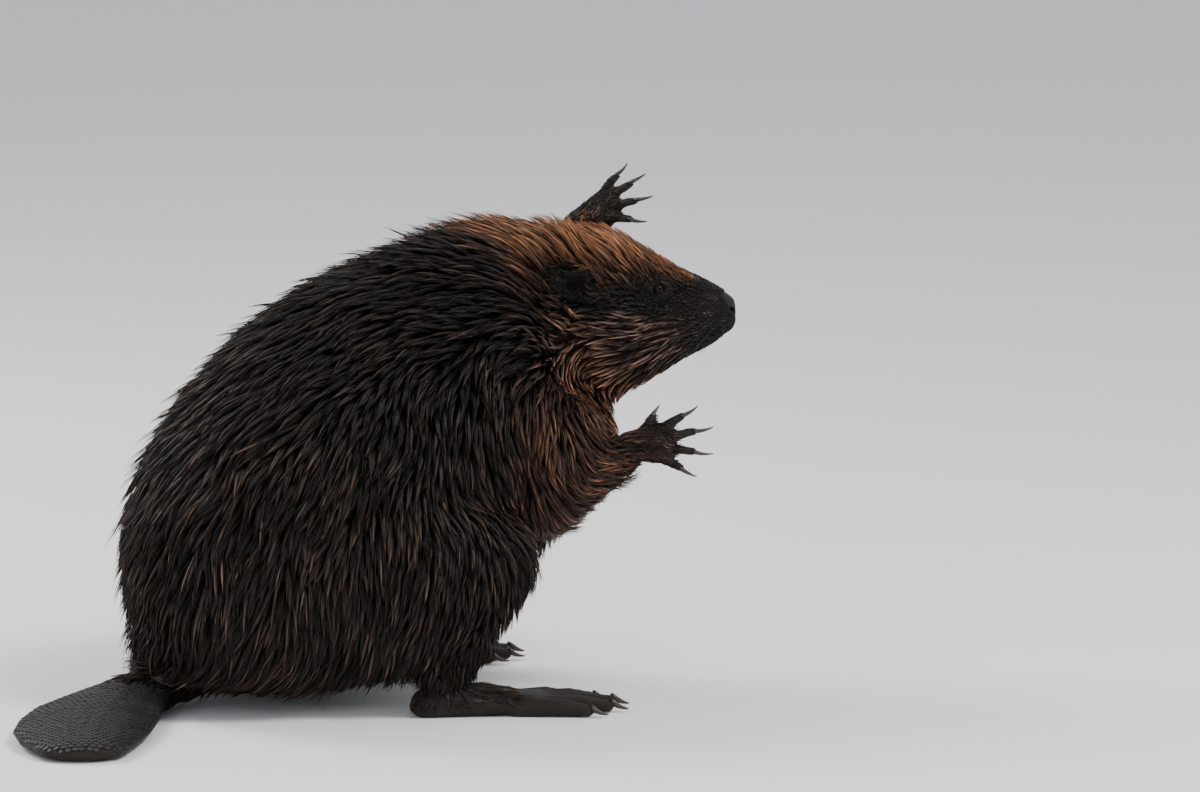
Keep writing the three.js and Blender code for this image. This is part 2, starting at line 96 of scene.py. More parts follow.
def head_coordinates(points):
    return (points - NOSE_TIP) @ HEAD_AXES / MM


def body_coordinates(points):
    return (points - BODY_ORIGIN) / MM


def unit(vectors):
    length = np.linalg.norm(vectors, axis=-1, keepdims=True)
    return vectors / np.maximum(length, 1e-12)


def mirrored(values, side):
    """Values given for the left side, turned to the side of the given sign."""
    return np.array(values, float) * (1, side, 1)


def smooth_step(low, high, values):
    """0 up to low, 1 from high on, and smooth between; low may be the larger."""
    t = np.clip((values - low) / (high - low), 0, 1)
    return t * t * (3 - 2 * t)


# ---- how the coat lies ----------------------------------------------------------------------

# Each guide is a place on the body, the way the hair lies there, the coat's depth, the length of
# its locks and how far the guide reaches. Those of the trunk are on the right, and are mirrored.
TRUNK_GUIDES = [
    # place, lie, depth, length, reach
    ((-16, -23, 367), (-0.97, -0.05, -0.12), 13, 40, 42),
    ((-67, -10, 354), (-0.90, -0.06, -0.40), 13, 40, 42),
    ((-156, -16, 299), (-0.72, -0.05, -0.68), 13, 40, 45),
    ((-222, -20, 230), (-0.50, -0.04, -0.86), 13, 40, 42),
    ((-244, -28, 160), (-0.22, -0.05, -0.97), 13, 38, 42),
    ((-250, -20, 90), (-0.10, 0.0, -1.0), 12, 34, 36),
    ((-227, -99, 111), (-0.08, 0.06, -0.99), 13, 38, 42),
    ((-199, -67, 234), (-0.62, -0.02, -0.78), 13, 40, 42),
    ((-109, -74, 312), (-0.86, -0.12, -0.50), 13, 40, 42),
    ((-104, -119, 261), (-0.66, -0.25, -0.72), 13, 40, 38),
    ((-160, -120, 190), (-0.42, -0.08, -0.91), 13, 40, 42),
    ((-89, -140, 199), (-0.38, -0.08, -0.92), 13, 38, 36),
    ((-126, -123, 69), (-0.05, 0.35, -0.93), 12, 34, 42),
    ((-62, -135, 229), (-0.30, -0.13, -0.95), 13, 36, 32),
    ((7, -82, 340), (-0.97, -0.12, -0.05), 13, 40, 30),
    ((-18, -106, 308), (-0.98, -0.10, -0.14), 13, 38, 26),
    ((-31, -119, 282), (-0.84, -0.18, -0.50), 13, 38, 24),
    ((7, -123, 264), (-0.25, -0.18, -0.94), 13, 36, 24),
    ((-14, -130, 234), (-0.06, -0.15, -0.98), 13, 36, 26),
    ((59, -68, 349), (-0.74, -0.05, 0.60), 12, 38, 24),
    ((89, -69, 316), (-0.90, -0.22, 0.34), 11, 34, 20),
    ((50, -26, 380), (-0.80, -0.02, 0.42), 13, 42, 28),
    ((85, -66, 287), (-0.96, -0.22, -0.06), 11, 34, 20),
    ((110, -46, 258), (-0.72, -0.05, -0.68), 11, 32, 22),
    ((58, -100, 272), (-0.84, -0.22, -0.46), 12, 36, 20),
    ((62, -98, 304), (-0.96, -0.20, 0.12), 12, 38, 20),
    ((122, -60, 268), (-0.93, -0.12, -0.34), 11, 32, 15),
    ((98, -74, 264), (-0.90, -0.20, -0.38), 11, 34, 16),
    ((138, -30, 215), (0.05, 0.0, -1.0), 11, 32, 34),
    ((118, -50, 160), (-0.25, 0.0, -0.97), 11, 32, 34),
    ((60, -30, 96), (-0.55, 0.0, -0.83), 11, 32, 38),
    ((20, -60, 56), (-0.60, 0.0, -0.80), 10, 28, 36),
    ((-60, -40, 14), (-1.0, 0.0, -0.10), 6, 24, 42),
    ((-160, -30, 12), (-1.0, 0.0, 0.05), 6, 24, 42),
    ((5, -128, 192), (0.30, -0.02, -0.92), 12, 32, 24),
    ((25, -144, 139), (0.25, -0.20, -0.92), 11, 32, 26),
    ((46, -128, 108), (-0.15, 0.0, -0.98), 9, 26, 24),
    ((14, -142, 82), (-0.45, -0.05, -0.89), 8, 24, 24),
    ((-51, -151, 134), (-0.15, -0.08, -0.98), 12, 34, 32),
    ((-20, -150, 175), (0.12, -0.12, -0.98), 12, 34, 28),
    ((-96, -135, 100), (-0.12, 0.05, -0.99), 12, 34, 36),
    ((-40, -120, 60), (-0.30, 0.20, -0.93), 8, 26, 28),
    ((-24, -128, 46), (-0.40, 0.0, -0.90), 4, 16, 18),
    ((-38, -116, 26), (-0.30, 0.0, -0.60), 1.5, 8, 12),
    ((0, -115, 18), (0.90, 0.0, -0.15), 0.8, 6, 18),
]

# The same in the head's frame, on its left side, and mirrored to its right.
HEAD_GUIDES = [
    ((-24, 0, 26), (-1.0, 0.0, 0.30), 1.3, 5, 12),
    ((-20, 22, 6), (-1.0, 0.10, 0.10), 1.0, 4.5, 12),
    ((-22, 20, -16), (-1.0, 0.10, -0.25), 1.2, 5.5, 10),
    ((-20, 0, -26), (-1.0, 0.0, -0.30), 1.5, 7, 12),
    ((-44, 20, 36), (-0.80, 0.10, 0.55), 2.5, 9, 11),
    ((-46, 34, 14), (-1.0, 0.15, 0.05), 1.5, 7, 11),
    ((-42, 30, -12), (-1.0, 0.15, -0.06), 2.5, 13, 11),
    ((-44, 24, -32), (-0.92, 0.10, -0.36), 3.5, 17, 11),
    ((-60, 0, 46), (-0.85, 0.0, 0.55), 4, 14, 14),
    ((-65, 30, 42), (-0.62, 0.10, 0.76), 3, 13, 9),
    ((-80, 44, 36), (-0.66, 0.05, 0.72), 4, 16, 10),
    ((-66, 42, 10), (-1.0, 0.15, 0.0), 2.2, 10, 10),
    ((-64, 40, -8), (-1.0, 0.12, 0.05), 4, 21, 11),
    ((-66, 40, -30), (-0.94, 0.10, -0.26), 5, 25, 12),
    ((-68, 24, -52), (-0.80, 0.0, -0.55), 5, 18, 14),
    ((-96, 0, 68), (-0.82, 0.0, 0.62), 9, 27, 16),
    ((-96, 34, 58), (-0.55, 0.10, 0.80), 8, 25, 14),
    ((-130, 0, 74), (-0.90, 0.0, 0.40), 11, 32, 20),
    ((-126, 38, 60), (-0.75, 0.10, 0.60), 9, 28, 14),
    ((-92, 52, 22), (-1.0, 0.08, 0.02), 3, 12, 10),
    ((-110, 58, 22), (-1.0, 0.0, 0.0), 3.5, 12, 10),
    ((-90, 54, -2), (-1.0, 0.05, 0.12), 6, 27, 12),
    ((-118, 60, 0), (-0.98, -0.05, 0.18), 8, 30, 14),
    ((-92, 55, -24), (-1.0, 0.0, -0.06), 7, 31, 13),
    ((-120, 58, -26), (-0.99, -0.06, -0.04), 9, 34, 14),
    ((-94, 48, -46), (-0.92, 0.0, -0.38), 7, 30, 13),
    ((-112, 40, -64), (-0.80, 0.0, -0.60), 9, 30, 14),
    ((-92, 0, -70), (-0.72, 0.0, -0.66), 8, 28, 18),
    ((-140, 44, 40), (-0.80, 0.05, 0.58), 10, 30, 14),
]

# The right upper arm, whose hair hangs down, then the left one, raised, with the hollow under it.
ARM_GUIDES = [
    ((78, -80, 232), (-0.10, -0.10, -0.99), 11, 32, 24),
    ((56, -112, 196), (0.05, -0.10, -0.99), 10, 30, 22),
    ((66, -112, 168), (0.25, 0.0, -0.97), 8, 27, 18),
    ((96, -80, 210), (0.10, 0.0, -0.99), 10, 28, 20),
    ((106, -46, 243), (0.20, -0.70, -0.68), 9, 26, 15),
    ((126, -46, 230), (0.30, -0.62, -0.72), 9, 26, 15),
    ((90, -70, 240), (-0.05, -0.60, -0.80), 9, 28, 15),
    ((60, 94, 286), (-0.95, -0.05, -0.25), 12, 36, 15),
    ((56, 102, 257), (-0.85, -0.10, -0.50), 12, 34, 15),
    ((52, 104, 230), (-0.40, -0.15, -0.90), 11, 32, 15),
    ((58, 98, 206), (-0.10, -0.15, -0.98), 11, 30, 15),
    ((72, 88, 190), (-0.05, -0.15, -0.98), 11, 30, 14),
    ((88, 112, 272), (0.20, 0.0, 0.97), 8, 26, 13),
    ((90, 108, 244), (0.20, 0.10, 0.97), 8, 24, 13),
    ((92, 108, 292), (0.35, 0.15, 0.92), 8, 26, 12),
]

# Each limb's bones: place, coat depth, length of the locks and reach, in order towards the tip.
LIMBS = {
    "foreleg_left": [
        ((78, 62, 236), 11, 32, 30),
        ((112, 100, 290), 8, 26, 30),
        ((140, 94, 332), 5, 17, 24),
        ((168, 88, 374), 1.6, 9, 16),
        ((182, 70, 386), 0.5, 5, 16),
        ((194, 52, 396), 0.3, 4, 16),
    ],
    "foreleg_right": [
        ((82, -100, 164), 7, 24, 14),
        ((108, -88, 182), 5, 17, 20),
        ((148, -78, 205), 1.6, 9, 16),
        ((168, -93, 209), 0.5, 5, 16),
        ((188, -108, 212), 0.3, 4, 16),
    ],
    "tail": [
        ((-172, 0, 50), 9, 28, 26),
        ((-206, -3, 34), 5, 22, 24),
        ((-238, -11, 18), 1.5, 11, 20),
        ((-281, -37, 12), 0.2, 4, 24),
        ((-313, -82, 8), 0.0, 3, 40),
        ((-345, -170, 7), 0.0, 3, 50),
    ],
}


def all_guides():
    """Every guide in the frame: places, lies, depths with lengths, reaches and weights."""
    rows = []
    for table, spot, turn in ((TRUNK_GUIDES, in_body, np.eye(3)), (HEAD_GUIDES, in_head, HEAD_AXES)):
        for place, lie, *sizes in table:
            for side in SIDES.values():
                rows.append((spot(mirrored(place, side)), turn @ mirrored(lie, side), *sizes))
    rows += [(in_body(place), np.array(lie), *sizes) for place, lie, *sizes in ARM_GUIDES]
    for chain in LIMBS.values():
        places = [in_body(link[0]) for link in chain]
        for i, (_, *sizes) in enumerate(chain):
            towards = places[min(i + 1, len(places) - 1)] - places[max(i - 1, 0)]
            rows.append((places[i], towards, *sizes))
    return {
        "place": np.array([row[0] for row in rows]),
        "lie": unit(np.array([row[1] for row in rows])),
        "sizes": np.array([row[2:4] for row in rows], float) * MM,
        "reach": np.array([row[4] for row in rows], float) * MM,
        "weight": np.array([(30 / row[4]) ** 1.5 for row in rows]),
    }


GUIDES = all_guides()
FAR_WEIGHT = 1e-7  # what each guide still counts for beyond its reach
AT_ONCE = 20000  # points blended together, which bounds the memory used

EAR_ROOT = (-124, 46, 30)
EAR_LEAN = unit(np.array((-0.45, 0.68, 0.56)))
EAR_SPAN = (13, 28)  # where along the ear its bare leaf begins and ends
EAR_REACH = (11.5, 18)  # from its middle line: all ear within the first, none beyond the second
EAR_COAT = (0.8, 6)  # depth and length

PADDLE_FROM = (-226, -242)  # along the tail, where its coat begins to end and has ended
PADDLE_UNDER = (40, 30)  # and the heights between which it does
BARE_ROUND = {"forepaw": 14, "hind_foot": 12}  # how far outside each box the coat is whole again


def coat_at(points):
    """The lie, depth and lock length of the coat at points, blended from the guides round them."""
    lies, sizes = [], []
    for start in range(0, len(points), AT_ONCE):
        apart = points[start:start + AT_ONCE, None, :] - GUIDES["place"][None, :, :]
        square = np.einsum("ijk,ijk->ij", apart, apart)
        weight = np.exp(-square / (2 * GUIDES["reach"] ** 2)) * GUIDES["weight"]
        weight += FAR_WEIGHT / (1 + square / MM ** 2)
        weight /= weight.sum(1, keepdims=True)
        lies.append(weight @ GUIDES["lie"])
        sizes.append(weight @ GUIDES["sizes"])
    lie, sizes = np.concatenate(lies), np.concatenate(sizes)
    for side in SIDES.values():
        near = ear_nearness(points, side)[:, None]
        lie = lie * (1 - near) + HEAD_AXES @ mirrored(EAR_LEAN, side) * near
        sizes = sizes * (1 - near) + np.array(EAR_COAT) * MM * near
    for side in SIDES:
        ring, _ = around_eye(head_coordinates(points), side)
        sizes = sizes * (1 - 0.6 * (1 - smooth_step(1.4, 4.0, ring)))[:, None]
    return unit(lie), sizes[:, 0] * (1 - bareness(points)), sizes[:, 1]


def box_nearness(points, node, reach):
    """1 inside a node's box, falling to 0 at the given reach outside it."""
    low, high = (np.array(corner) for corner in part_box(node))
    gap = np.linalg.norm(np.maximum(np.maximum(low - points, points - high), 0), axis=1)
    return 1 - smooth_step(0, reach * MM, gap)


def bareness(points):
    """1 on bare skin, the paws, the feet and the tail's paddle, falling to 0 round them."""
    body = body_coordinates(points)
    bare = smooth_step(*PADDLE_FROM, body[:, 0]) * smooth_step(*PADDLE_UNDER, body[:, 2])
    for node, reach in BARE_ROUND.items():
        for side in SIDES:
            bare = np.maximum(bare, box_nearness(points, f"{node}_{side}", reach))
    return bare


def ear_nearness(points, side):
    """1 on an ear, falling to 0 a little way round it."""
    lean = mirrored(EAR_LEAN, side)
    away = head_coordinates(points) - mirrored(EAR_ROOT, side)
    along = np.clip(away @ lean, *EAR_SPAN)
    gap = np.linalg.norm(away - along[:, None] * lean, axis=1)
    return 1 - smooth_step(*EAR_REACH, gap)


# ---- markings, the same on skin and coat ----------------------------------------------------


def oval(points, centre, radii, edge=0.35):
    """1 inside an oval, falling to 0 over its edge."""
    reach = np.sqrt((((points - np.array(centre)) / np.array(radii)) ** 2).sum(1))
    return 1 - smooth_step(1 - edge, 1 + edge, reach)


def markings(points):
    """How far each point lies in each of the coat's markings, as named masks from 0 to 1."""
    head = head_coordinates(points)
    body = body_coordinates(points)
    paired = np.column_stack((head[:, 0], np.abs(head[:, 1]), head[:, 2]))
    beside = np.column_stack((body[:, 0], np.abs(body[:, 1]), body[:, 2]))
    # The crown and nape are the coat's own reddish brown, lightened as painted sunlight.
    crown = oval(head, (-98, 0, 66), (62, 60, 32))
    crown = np.maximum(crown, oval(head, (-46, 0, 44), (36, 26, 18)) * 0.9)
    nape = oval(body, (110, 0, 374), (48, 80, 60), 0.6)
    breast = oval(body, (132, 0, 216), (64, 58, 94), 0.45)
    breast = np.maximum(breast, oval(beside, (84, 92, 200), (58, 42, 66), 0.6) * 0.55)
    jowl = oval(paired, (-98, 24, -72), (44, 30, 18), 0.5) * 0.6
    muzzle = oval(head, (-6, 0, -6), (33, 60, 46), 0.3)
    # The band by the eye is partly dark fur and partly painted shade along the side of the face.
    band = oval(paired, (-74, 44, 20.5), (60, 30, 9), 0.4)
    cheek = oval(paired, (-100, 52, -20), (72, 44, 38), 0.4)
    # Over the shoulders the coat keeps its dark colour: the wet coat's own, darkened further as painted
    # shade.
    shaded_saddle = oval(body, (-40, 0, 300), (150, 260, 130), 0.5)
    ears = [ear_nearness(points, side) for side in SIDES.values()]
    band = np.maximum(band * 0.9, np.maximum(*ears))
    dark = np.maximum(muzzle, band)
    crown = np.clip(np.maximum(crown, nape * 0.92) - dark, 0, 1)
    return {
        "crown": crown,
        "breast": np.clip(np.maximum(breast, jowl) - crown, 0, 1),
        "muzzle": dark,
        "band": np.clip(band - muzzle, 0, 1),
        "cheek": np.clip(cheek - dark, 0, 1),
        "flank": np.clip(1 - shaded_saddle - crown - dark, 0, 1),
    }


# ---- mesh helpers ---------------------------------------------------------------------------


def deselect_all():
    if bpy.context.object and bpy.context.object.mode != "OBJECT":
        bpy.ops.object.mode_set(mode="OBJECT")
    bpy.ops.object.select_all(action="DESELECT")


def only(piece):
    deselect_all()
    piece.select_set(True)
    bpy.context.view_layer.objects.active = piece
    return piece


def apply_modifier(piece, kind, **settings):
    only(piece)
    modifier = piece.modifiers.new(kind.lower(), kind)
    for key, value in settings.items():
        setattr(modifier, key, value)
    bpy.ops.object.modifier_apply(modifier=modifier.name)


def merged_copy(nodes, name, swell=0.0):
    """The named frame nodes, copied, merged and joined into one new object."""
    deselect_all()
    for node in nodes:
        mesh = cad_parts[node].data.copy()
        shape = bmesh.new()
        shape.from_mesh(mesh)
        bmesh.ops.remove_doubles(shape, verts=shape.verts, dist=1e-6)
        shape.normal_update()
        for vert in shape.verts:
            vert.co += vert.normal * swell
        shape.to_mesh(mesh)
        shape.free()
        mesh.materials.clear()
        copy = new_piece(name, mesh)
        copy.select_set(True)
        bpy.context.view_layer.objects.active = copy
    if len(nodes) > 1:
        bpy.ops.object.join()
    piece = bpy.context.view_layer.objects.active
    piece.name = piece.data.name = name
    return piece


def triples(rows, key):
    """A vector property of every row, one line of an array for each."""
    flat = np.empty(len(rows) * 3, np.float32)
    rows.foreach_get(key, flat)
    return flat.reshape(-1, 3).astype(float)


def positions(mesh):
    return triples(mesh.vertices, "co")


def normals_of(mesh):
    return triples(mesh.vertex_normals, "vector")


def put(rows, key, values):
    rows.foreach_set(key, np.asarray(values, np.float32).ravel())


def move_to(mesh, points):
    put(mesh.vertices, "co", points)
    mesh.update()


def add_mask(mesh, name, values):
    put(mesh.attributes.new(name, "FLOAT", "POINT").data, "value", values)


def new_piece(name, mesh):
    piece = bpy.data.objects.new(name, mesh)
    bpy.context.scene.collection.objects.link(piece)
    return piece


def finish_piece(piece, material, nodes=()):
    """Gives a piece its material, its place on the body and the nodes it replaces."""
    piece.data.materials.clear()
    piece.data.materials.append(material)
    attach(piece, "root")
    if nodes:
        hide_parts(*nodes)


# ---- materials ------------------------------------------------------------------------------


class Nodes:
    """A short way to add nodes to a tree and link them."""

    def __init__(self, tree):
        self.tree = tree

    def add(self, kind, inputs=(), **settings):
        node = self.tree.nodes.new(kind)
        for key, value in settings.items():
            setattr(node, key, value)
        for key, value in dict(inputs).items():
            if isinstance(value, bpy.types.NodeSocket):
                self.tree.links.new(value, node.inputs[key])
            else:
                node.inputs[key].default_value = value
        return node

    def feed(self, node, **sources):
        """Links sources to a node's inputs, named with _ for each space."""
        for key, source in sources.items():
            self.tree.links.new(source, node.inputs[key.replace("_", " ")])

    def math(self, operation, first, second=0.5, third=0.0):
        node = self.add("ShaderNodeMath", {0: first, 1: second, 2: third}, operation=operation)
        return node.outputs[0]

    def times(self, first, second):
        return self.math("MULTIPLY", first, second)

    def mask(self, name):
        return self.add("ShaderNodeAttribute", attribute_name=name).outputs["Fac"]

    def mix(self, factor, first, second):
        node = self.add("ShaderNodeMix", {0: factor, 6: first, 7: second}, data_type="RGBA")
        return node.outputs[2]

    def span(self, value, low, high, new_low=0.0, new_high=1.0):
        inputs = {0: value, 1: low, 2: high, 3: new_low, 4: new_high}
        return self.add("ShaderNodeMapRange", inputs).outputs[0]

    def noise(self, where, scale, detail=3.0, roughness=0.5):
        inputs = {"Vector": where, "Scale": scale, "Detail": detail, "Roughness": roughness}
        return self.add("ShaderNodeTexNoise", inputs).outputs["Fac"]

    def bump(self, height, strength, distance):
        inputs = {"Height": height, "Strength": strength, "Distance": distance}
        return self.add("ShaderNodeBump", inputs).outputs["Normal"]

    def place(self):
        return self.add("ShaderNodeTexCoord").outputs["Object"]

    def group(self, group, inputs=()):
        return self.add("ShaderNodeGroup", inputs, node_tree=group).outputs


def new_group(name, inputs, outputs):
    group = bpy.data.node_groups.new(name, "ShaderNodeTree")
    for label, kind, value in inputs:
        socket = group.interface.new_socket(label, in_out="INPUT", socket_type=kind)
        socket.default_value = value
    for label, kind in outputs:
        group.interface.new_socket(label, in_out="OUTPUT", socket_type=kind)
    nodes = Nodes(group)
    entry = nodes.add("NodeGroupInput")
    leave = nodes.add("NodeGroupOutput")
    return group, nodes, entry.outputs, leave


def new_material(name, **shader):
    """A material, its nodes and its shader, whose inputs are named with _ for each space."""
    material = bpy.data.materials.new(name)
    material.use_nodes = True
    surface = material.node_tree.nodes["Principled BSDF"]
    for key, value in shader.items():
        surface.inputs[key.replace("_", " ")].default_value = value
    return material, Nodes(material.node_tree), surface


def colour(values, gain=1.0):
    return (*(value * gain for value in values), 1.0)


# Painted shade, laid into the creases of bare skin on paws, feet, tail and nose pad.
CREASE_SHADE = colour((0.003, 0.002, 0.002))
# The underfur's own dark colour, darkened further as painted shade in the gaps between the locks.
SHADED_UNDERFUR = colour((0.006, 0.0045, 0.004))
# Painted shadow in the mouth's groove, the nostrils and round the eyes.
HOLLOW_SHADOW = colour((0.002, 0.0015, 0.0015))
MARKINGS = ("flank", "cheek", "breast", "crown", "muzzle", "band")  # each mixed over those before


def coat_colour_group(look):
    """Mixes the coat's colours by its markings, for the skin and the locks alike."""
    inputs = [
        (name, "NodeSocketColor", colour(getattr(look, f"{name}_colour"))) for name in ("dark", *MARKINGS)
    ]
    group, nodes, entry, leave = new_group("coat colour", inputs, [("Colour", "NodeSocketColor")])
    mixed = entry["dark"]
    for marking in MARKINGS:
        mixed = nodes.mix(nodes.mask(marking), mixed, entry[marking])
    nodes.feed(leave, Colour=mixed)
    return group


def coat_colour(nodes, look):
    """The coat's colour, from the one group that skin and locks share."""
    group = bpy.data.node_groups.get("coat colour") or coat_colour_group(look)
    return nodes.group(group)["Colour"]


def coat_material(look):
    """Wet hair: streaked along each strand, with painted shade at the root and in the hollows between the
    locks, redder at the tip.
    """
    material, nodes, surface = new_material("wet_coat", IOR=1.5, Specular_IOR_Level=look.wet_shine)
    strand = nodes.add("ShaderNodeUVMap", uv_map="strand").outputs["UV"]
    across, along, _ = nodes.add("ShaderNodeSeparateXYZ", {0: strand}).outputs
    tone = nodes.mask("tone")
    where = nodes.add("ShaderNodeCombineXYZ", {
        "X": nodes.times(across, 6.0),
        "Y": nodes.times(along, 1.4),
        "Z": nodes.times(tone, 173.0),
    }).outputs[0]
    streak = nodes.noise(where, 1.0, 2.0)
    # Painted light: bright tones stand for highlights on the ridges of the locks, dark ones for shade on
    # their sides and lower strands.
    light = nodes.math("MULTIPLY_ADD", nodes.math("POWER", tone, 2.3), 4.4, 0.24)
    light = nodes.times(light, nodes.span(streak, 0.3, 0.7, 0.6, 1.45))
    # Painted shade towards each strand's root.
    light = nodes.times(light, nodes.span(along, 0.0, 0.7, 0.38, 1.0))
    tip = nodes.times(nodes.span(along, 0.5, 1.0), tone)
    tint = nodes.add("ShaderNodeCombineXYZ", {
        axis: nodes.times(light, nodes.math("MULTIPLY_ADD", tip, extra - 1, 1.0))
        for axis, extra in zip("XYZ", look.tip_gain)
    }).outputs[0]
    both = {0: coat_colour(nodes, look), 1: tint}
    shade = nodes.add("ShaderNodeVectorMath", both, operation="MULTIPLY").outputs[0]
    rough = nodes.span(streak, 0.2, 0.8, 0.34, 0.52)
    nodes.feed(surface, Base_Color=shade, Roughness=rough, Normal=nodes.bump(streak, 0.5, 0.0004))
    return material


def creased_group():
    """Bare skin: small cells with creases between them, and finer wrinkles over them."""
    inputs = [("Cells", "NodeSocketFloat", 500.0), ("Wrinkles", "NodeSocketFloat", 900.0)]
    outputs = [("Height", "NodeSocketFloat"), ("Crease", "NodeSocketFloat")]
    group, nodes, entry, leave = new_group("creased skin", inputs, outputs)
    place = nodes.place()
    cells = nodes.add("ShaderNodeTexVoronoi", {"Vector": place, "Scale": entry["Cells"]},
                      feature="DISTANCE_TO_EDGE").outputs["Distance"]
    crease = nodes.span(cells, 0.0, 0.16)
    fine = nodes.noise(place, entry["Wrinkles"], 4.0, 0.6)
    nodes.feed(leave, Height=nodes.math("MULTIPLY_ADD", fine, 0.35, crease), Crease=crease)
    return group


def creased(nodes, cells, wrinkles):
    """The creased skin's height and creases, at the given scales."""
    group = bpy.data.node_groups.get("creased skin") or creased_group()
    return nodes.group(group, {"Cells": cells, "Wrinkles": wrinkles})


def mottled(nodes, mottle, base, gain, crease, depth):
    """Bare skin's colour: lighter in patches, with painted shade in its creases."""
    skin = nodes.mix(mottle, colour(base), colour(base, gain))
    # Painted shade: the creases are darkened towards near-black by up to the given depth.
    return nodes.mix(nodes.math("MULTIPLY_ADD", crease, -depth, depth), skin, CREASE_SHADE)


def skin_material(coat, bare_look):
    """Dark underfur, partly painted shade, where the coat grows, and bare creased skin on nose, paws and
    tail, with painted shade in its creases and painted shadow in its hollows.
    """
    material, nodes, surface = new_material("skin", IOR=1.45, Specular_IOR_Level=0.25)
    bare, nose = nodes.mask("bare"), nodes.mask("nose")
    skin = creased(nodes, 760.0, 1700.0)
    pebbles = creased(nodes, 900.0, 2600.0)
    place = nodes.place()
    mottle = nodes.noise(place, 60.0, 4.0)
    # Under the coat the skin is mixed towards the underfur colour: partly its own dark brown, partly
    # painted shade between the locks.
    under = nodes.mix(0.75, coat_colour(nodes, coat), SHADED_UNDERFUR)
    paw = mottled(nodes, mottle, bare_look.paw_colour, 2.2, skin["Crease"], 0.6)
    pad = mottled(nodes, mottle, bare_look.nose_colour, 1.8, pebbles["Crease"], 0.5)
    shade = nodes.mix(nose, nodes.mix(bare, under, paw), pad)
    # Painted shadow over the mouth's groove, the nostrils and the rims round the eyes.
    shade = nodes.mix(nodes.mask("shadow"), shade, HOLLOW_SHADOW)
    rough = nodes.math("MULTIPLY_ADD", bare, -0.22, 0.78)
    rough = nodes.math("MULTIPLY_ADD", nose, -0.26, rough)
    height = nodes.mix(bare, nodes.noise(place, 1300.0, 3.0, 0.7), skin["Height"])
    height = nodes.math("MULTIPLY_ADD", nodes.times(pebbles["Height"], nose), 1.1, height)
    nodes.feed(surface, Base_Color=shade, Roughness=rough, Normal=nodes.bump(height, 0.9, 0.0006))
    return material


def eye_material():
    """A near-black brown iris round a black pupil, under a wet clear surface."""
    material, nodes, surface = new_material("eye", Roughness=0.04, IOR=1.36, Specular_IOR_Level=0.22)
    flecks = nodes.noise(nodes.place(), 1400.0)
    iris = nodes.mix(flecks, colour((0.004, 0.0028, 0.002)), colour((0.013, 0.007, 0.004)))
    nodes.feed(surface, Base_Color=nodes.mix(nodes.mask("iris"), colour((0.0015, 0.0015, 0.0018)), iris))
    return material


def claw_material(look):
    """Horn, streaked lengthwise, paler at its tip and scuffed."""
    material, nodes, surface = new_material("claw", IOR=1.5)
    grain = nodes.noise(nodes.place(), 700.0, 4.0)
    horn = nodes.mix(nodes.mask("along"), colour(look.claw_colour), colour(look.claw_colour, 2.4))
    horn = nodes.mix(nodes.span(grain, 0.35, 0.75, 0.0, 0.6), horn, colour((0.010, 0.006, 0.006)))
    rough = nodes.span(grain, 0.2, 0.8, 0.22, 0.42)
    nodes.feed(surface, Base_Color=horn, Roughness=rough, Normal=nodes.bump(grain, 0.35, 0.0003))
    return material


def scale_material(look):
    """The tail's scales: dark and satin, each with its own tone and fine growth lines."""
    material, nodes, surface = new_material("tail_scale", IOR=1.5, Specular_IOR_Level=0.35)
    fine = nodes.noise(nodes.place(), 1100.0)
    horn = nodes.mix(nodes.mask("tone"), colour(look.scale_colour, 0.75), colour(look.scale_colour, 1.4))
    horn = nodes.mix(nodes.span(fine, 0.4, 0.8, 0.0, 0.5), horn, colour((0.006, 0.005, 0.005)))
    rough = nodes.span(fine, 0.2, 0.8, 0.42, 0.66)
    nodes.feed(surface, Base_Color=horn, Roughness=rough, Normal=nodes.bump(fine, 0.4, 0.0003))
    return material


# ---- settings -------------------------------------------------------------------------------


def colour_setting(name, description, default):
    return bpy.props.FloatVectorProperty(
        name=name, description=description, default=default, size=3, min=0, max=1, subtype="COLOR")


def size_setting(name, description, default, low, high):
    """A length whose values are given in millimetres."""
    return bpy.props.FloatProperty(
        name=name, description=description, default=default * MM, min=low * MM, max=high * MM,
        unit="LENGTH")


def metre_setting(name, description, default, low, high):
    return bpy.props.FloatProperty(
        name=name, description=description, default=default, min=low, max=high, unit="LENGTH")


def angle_setting(name, description, degrees):
    return bpy.props.FloatProperty(
        name=name, description=description, default=math.radians(degrees), unit="ROTATION")


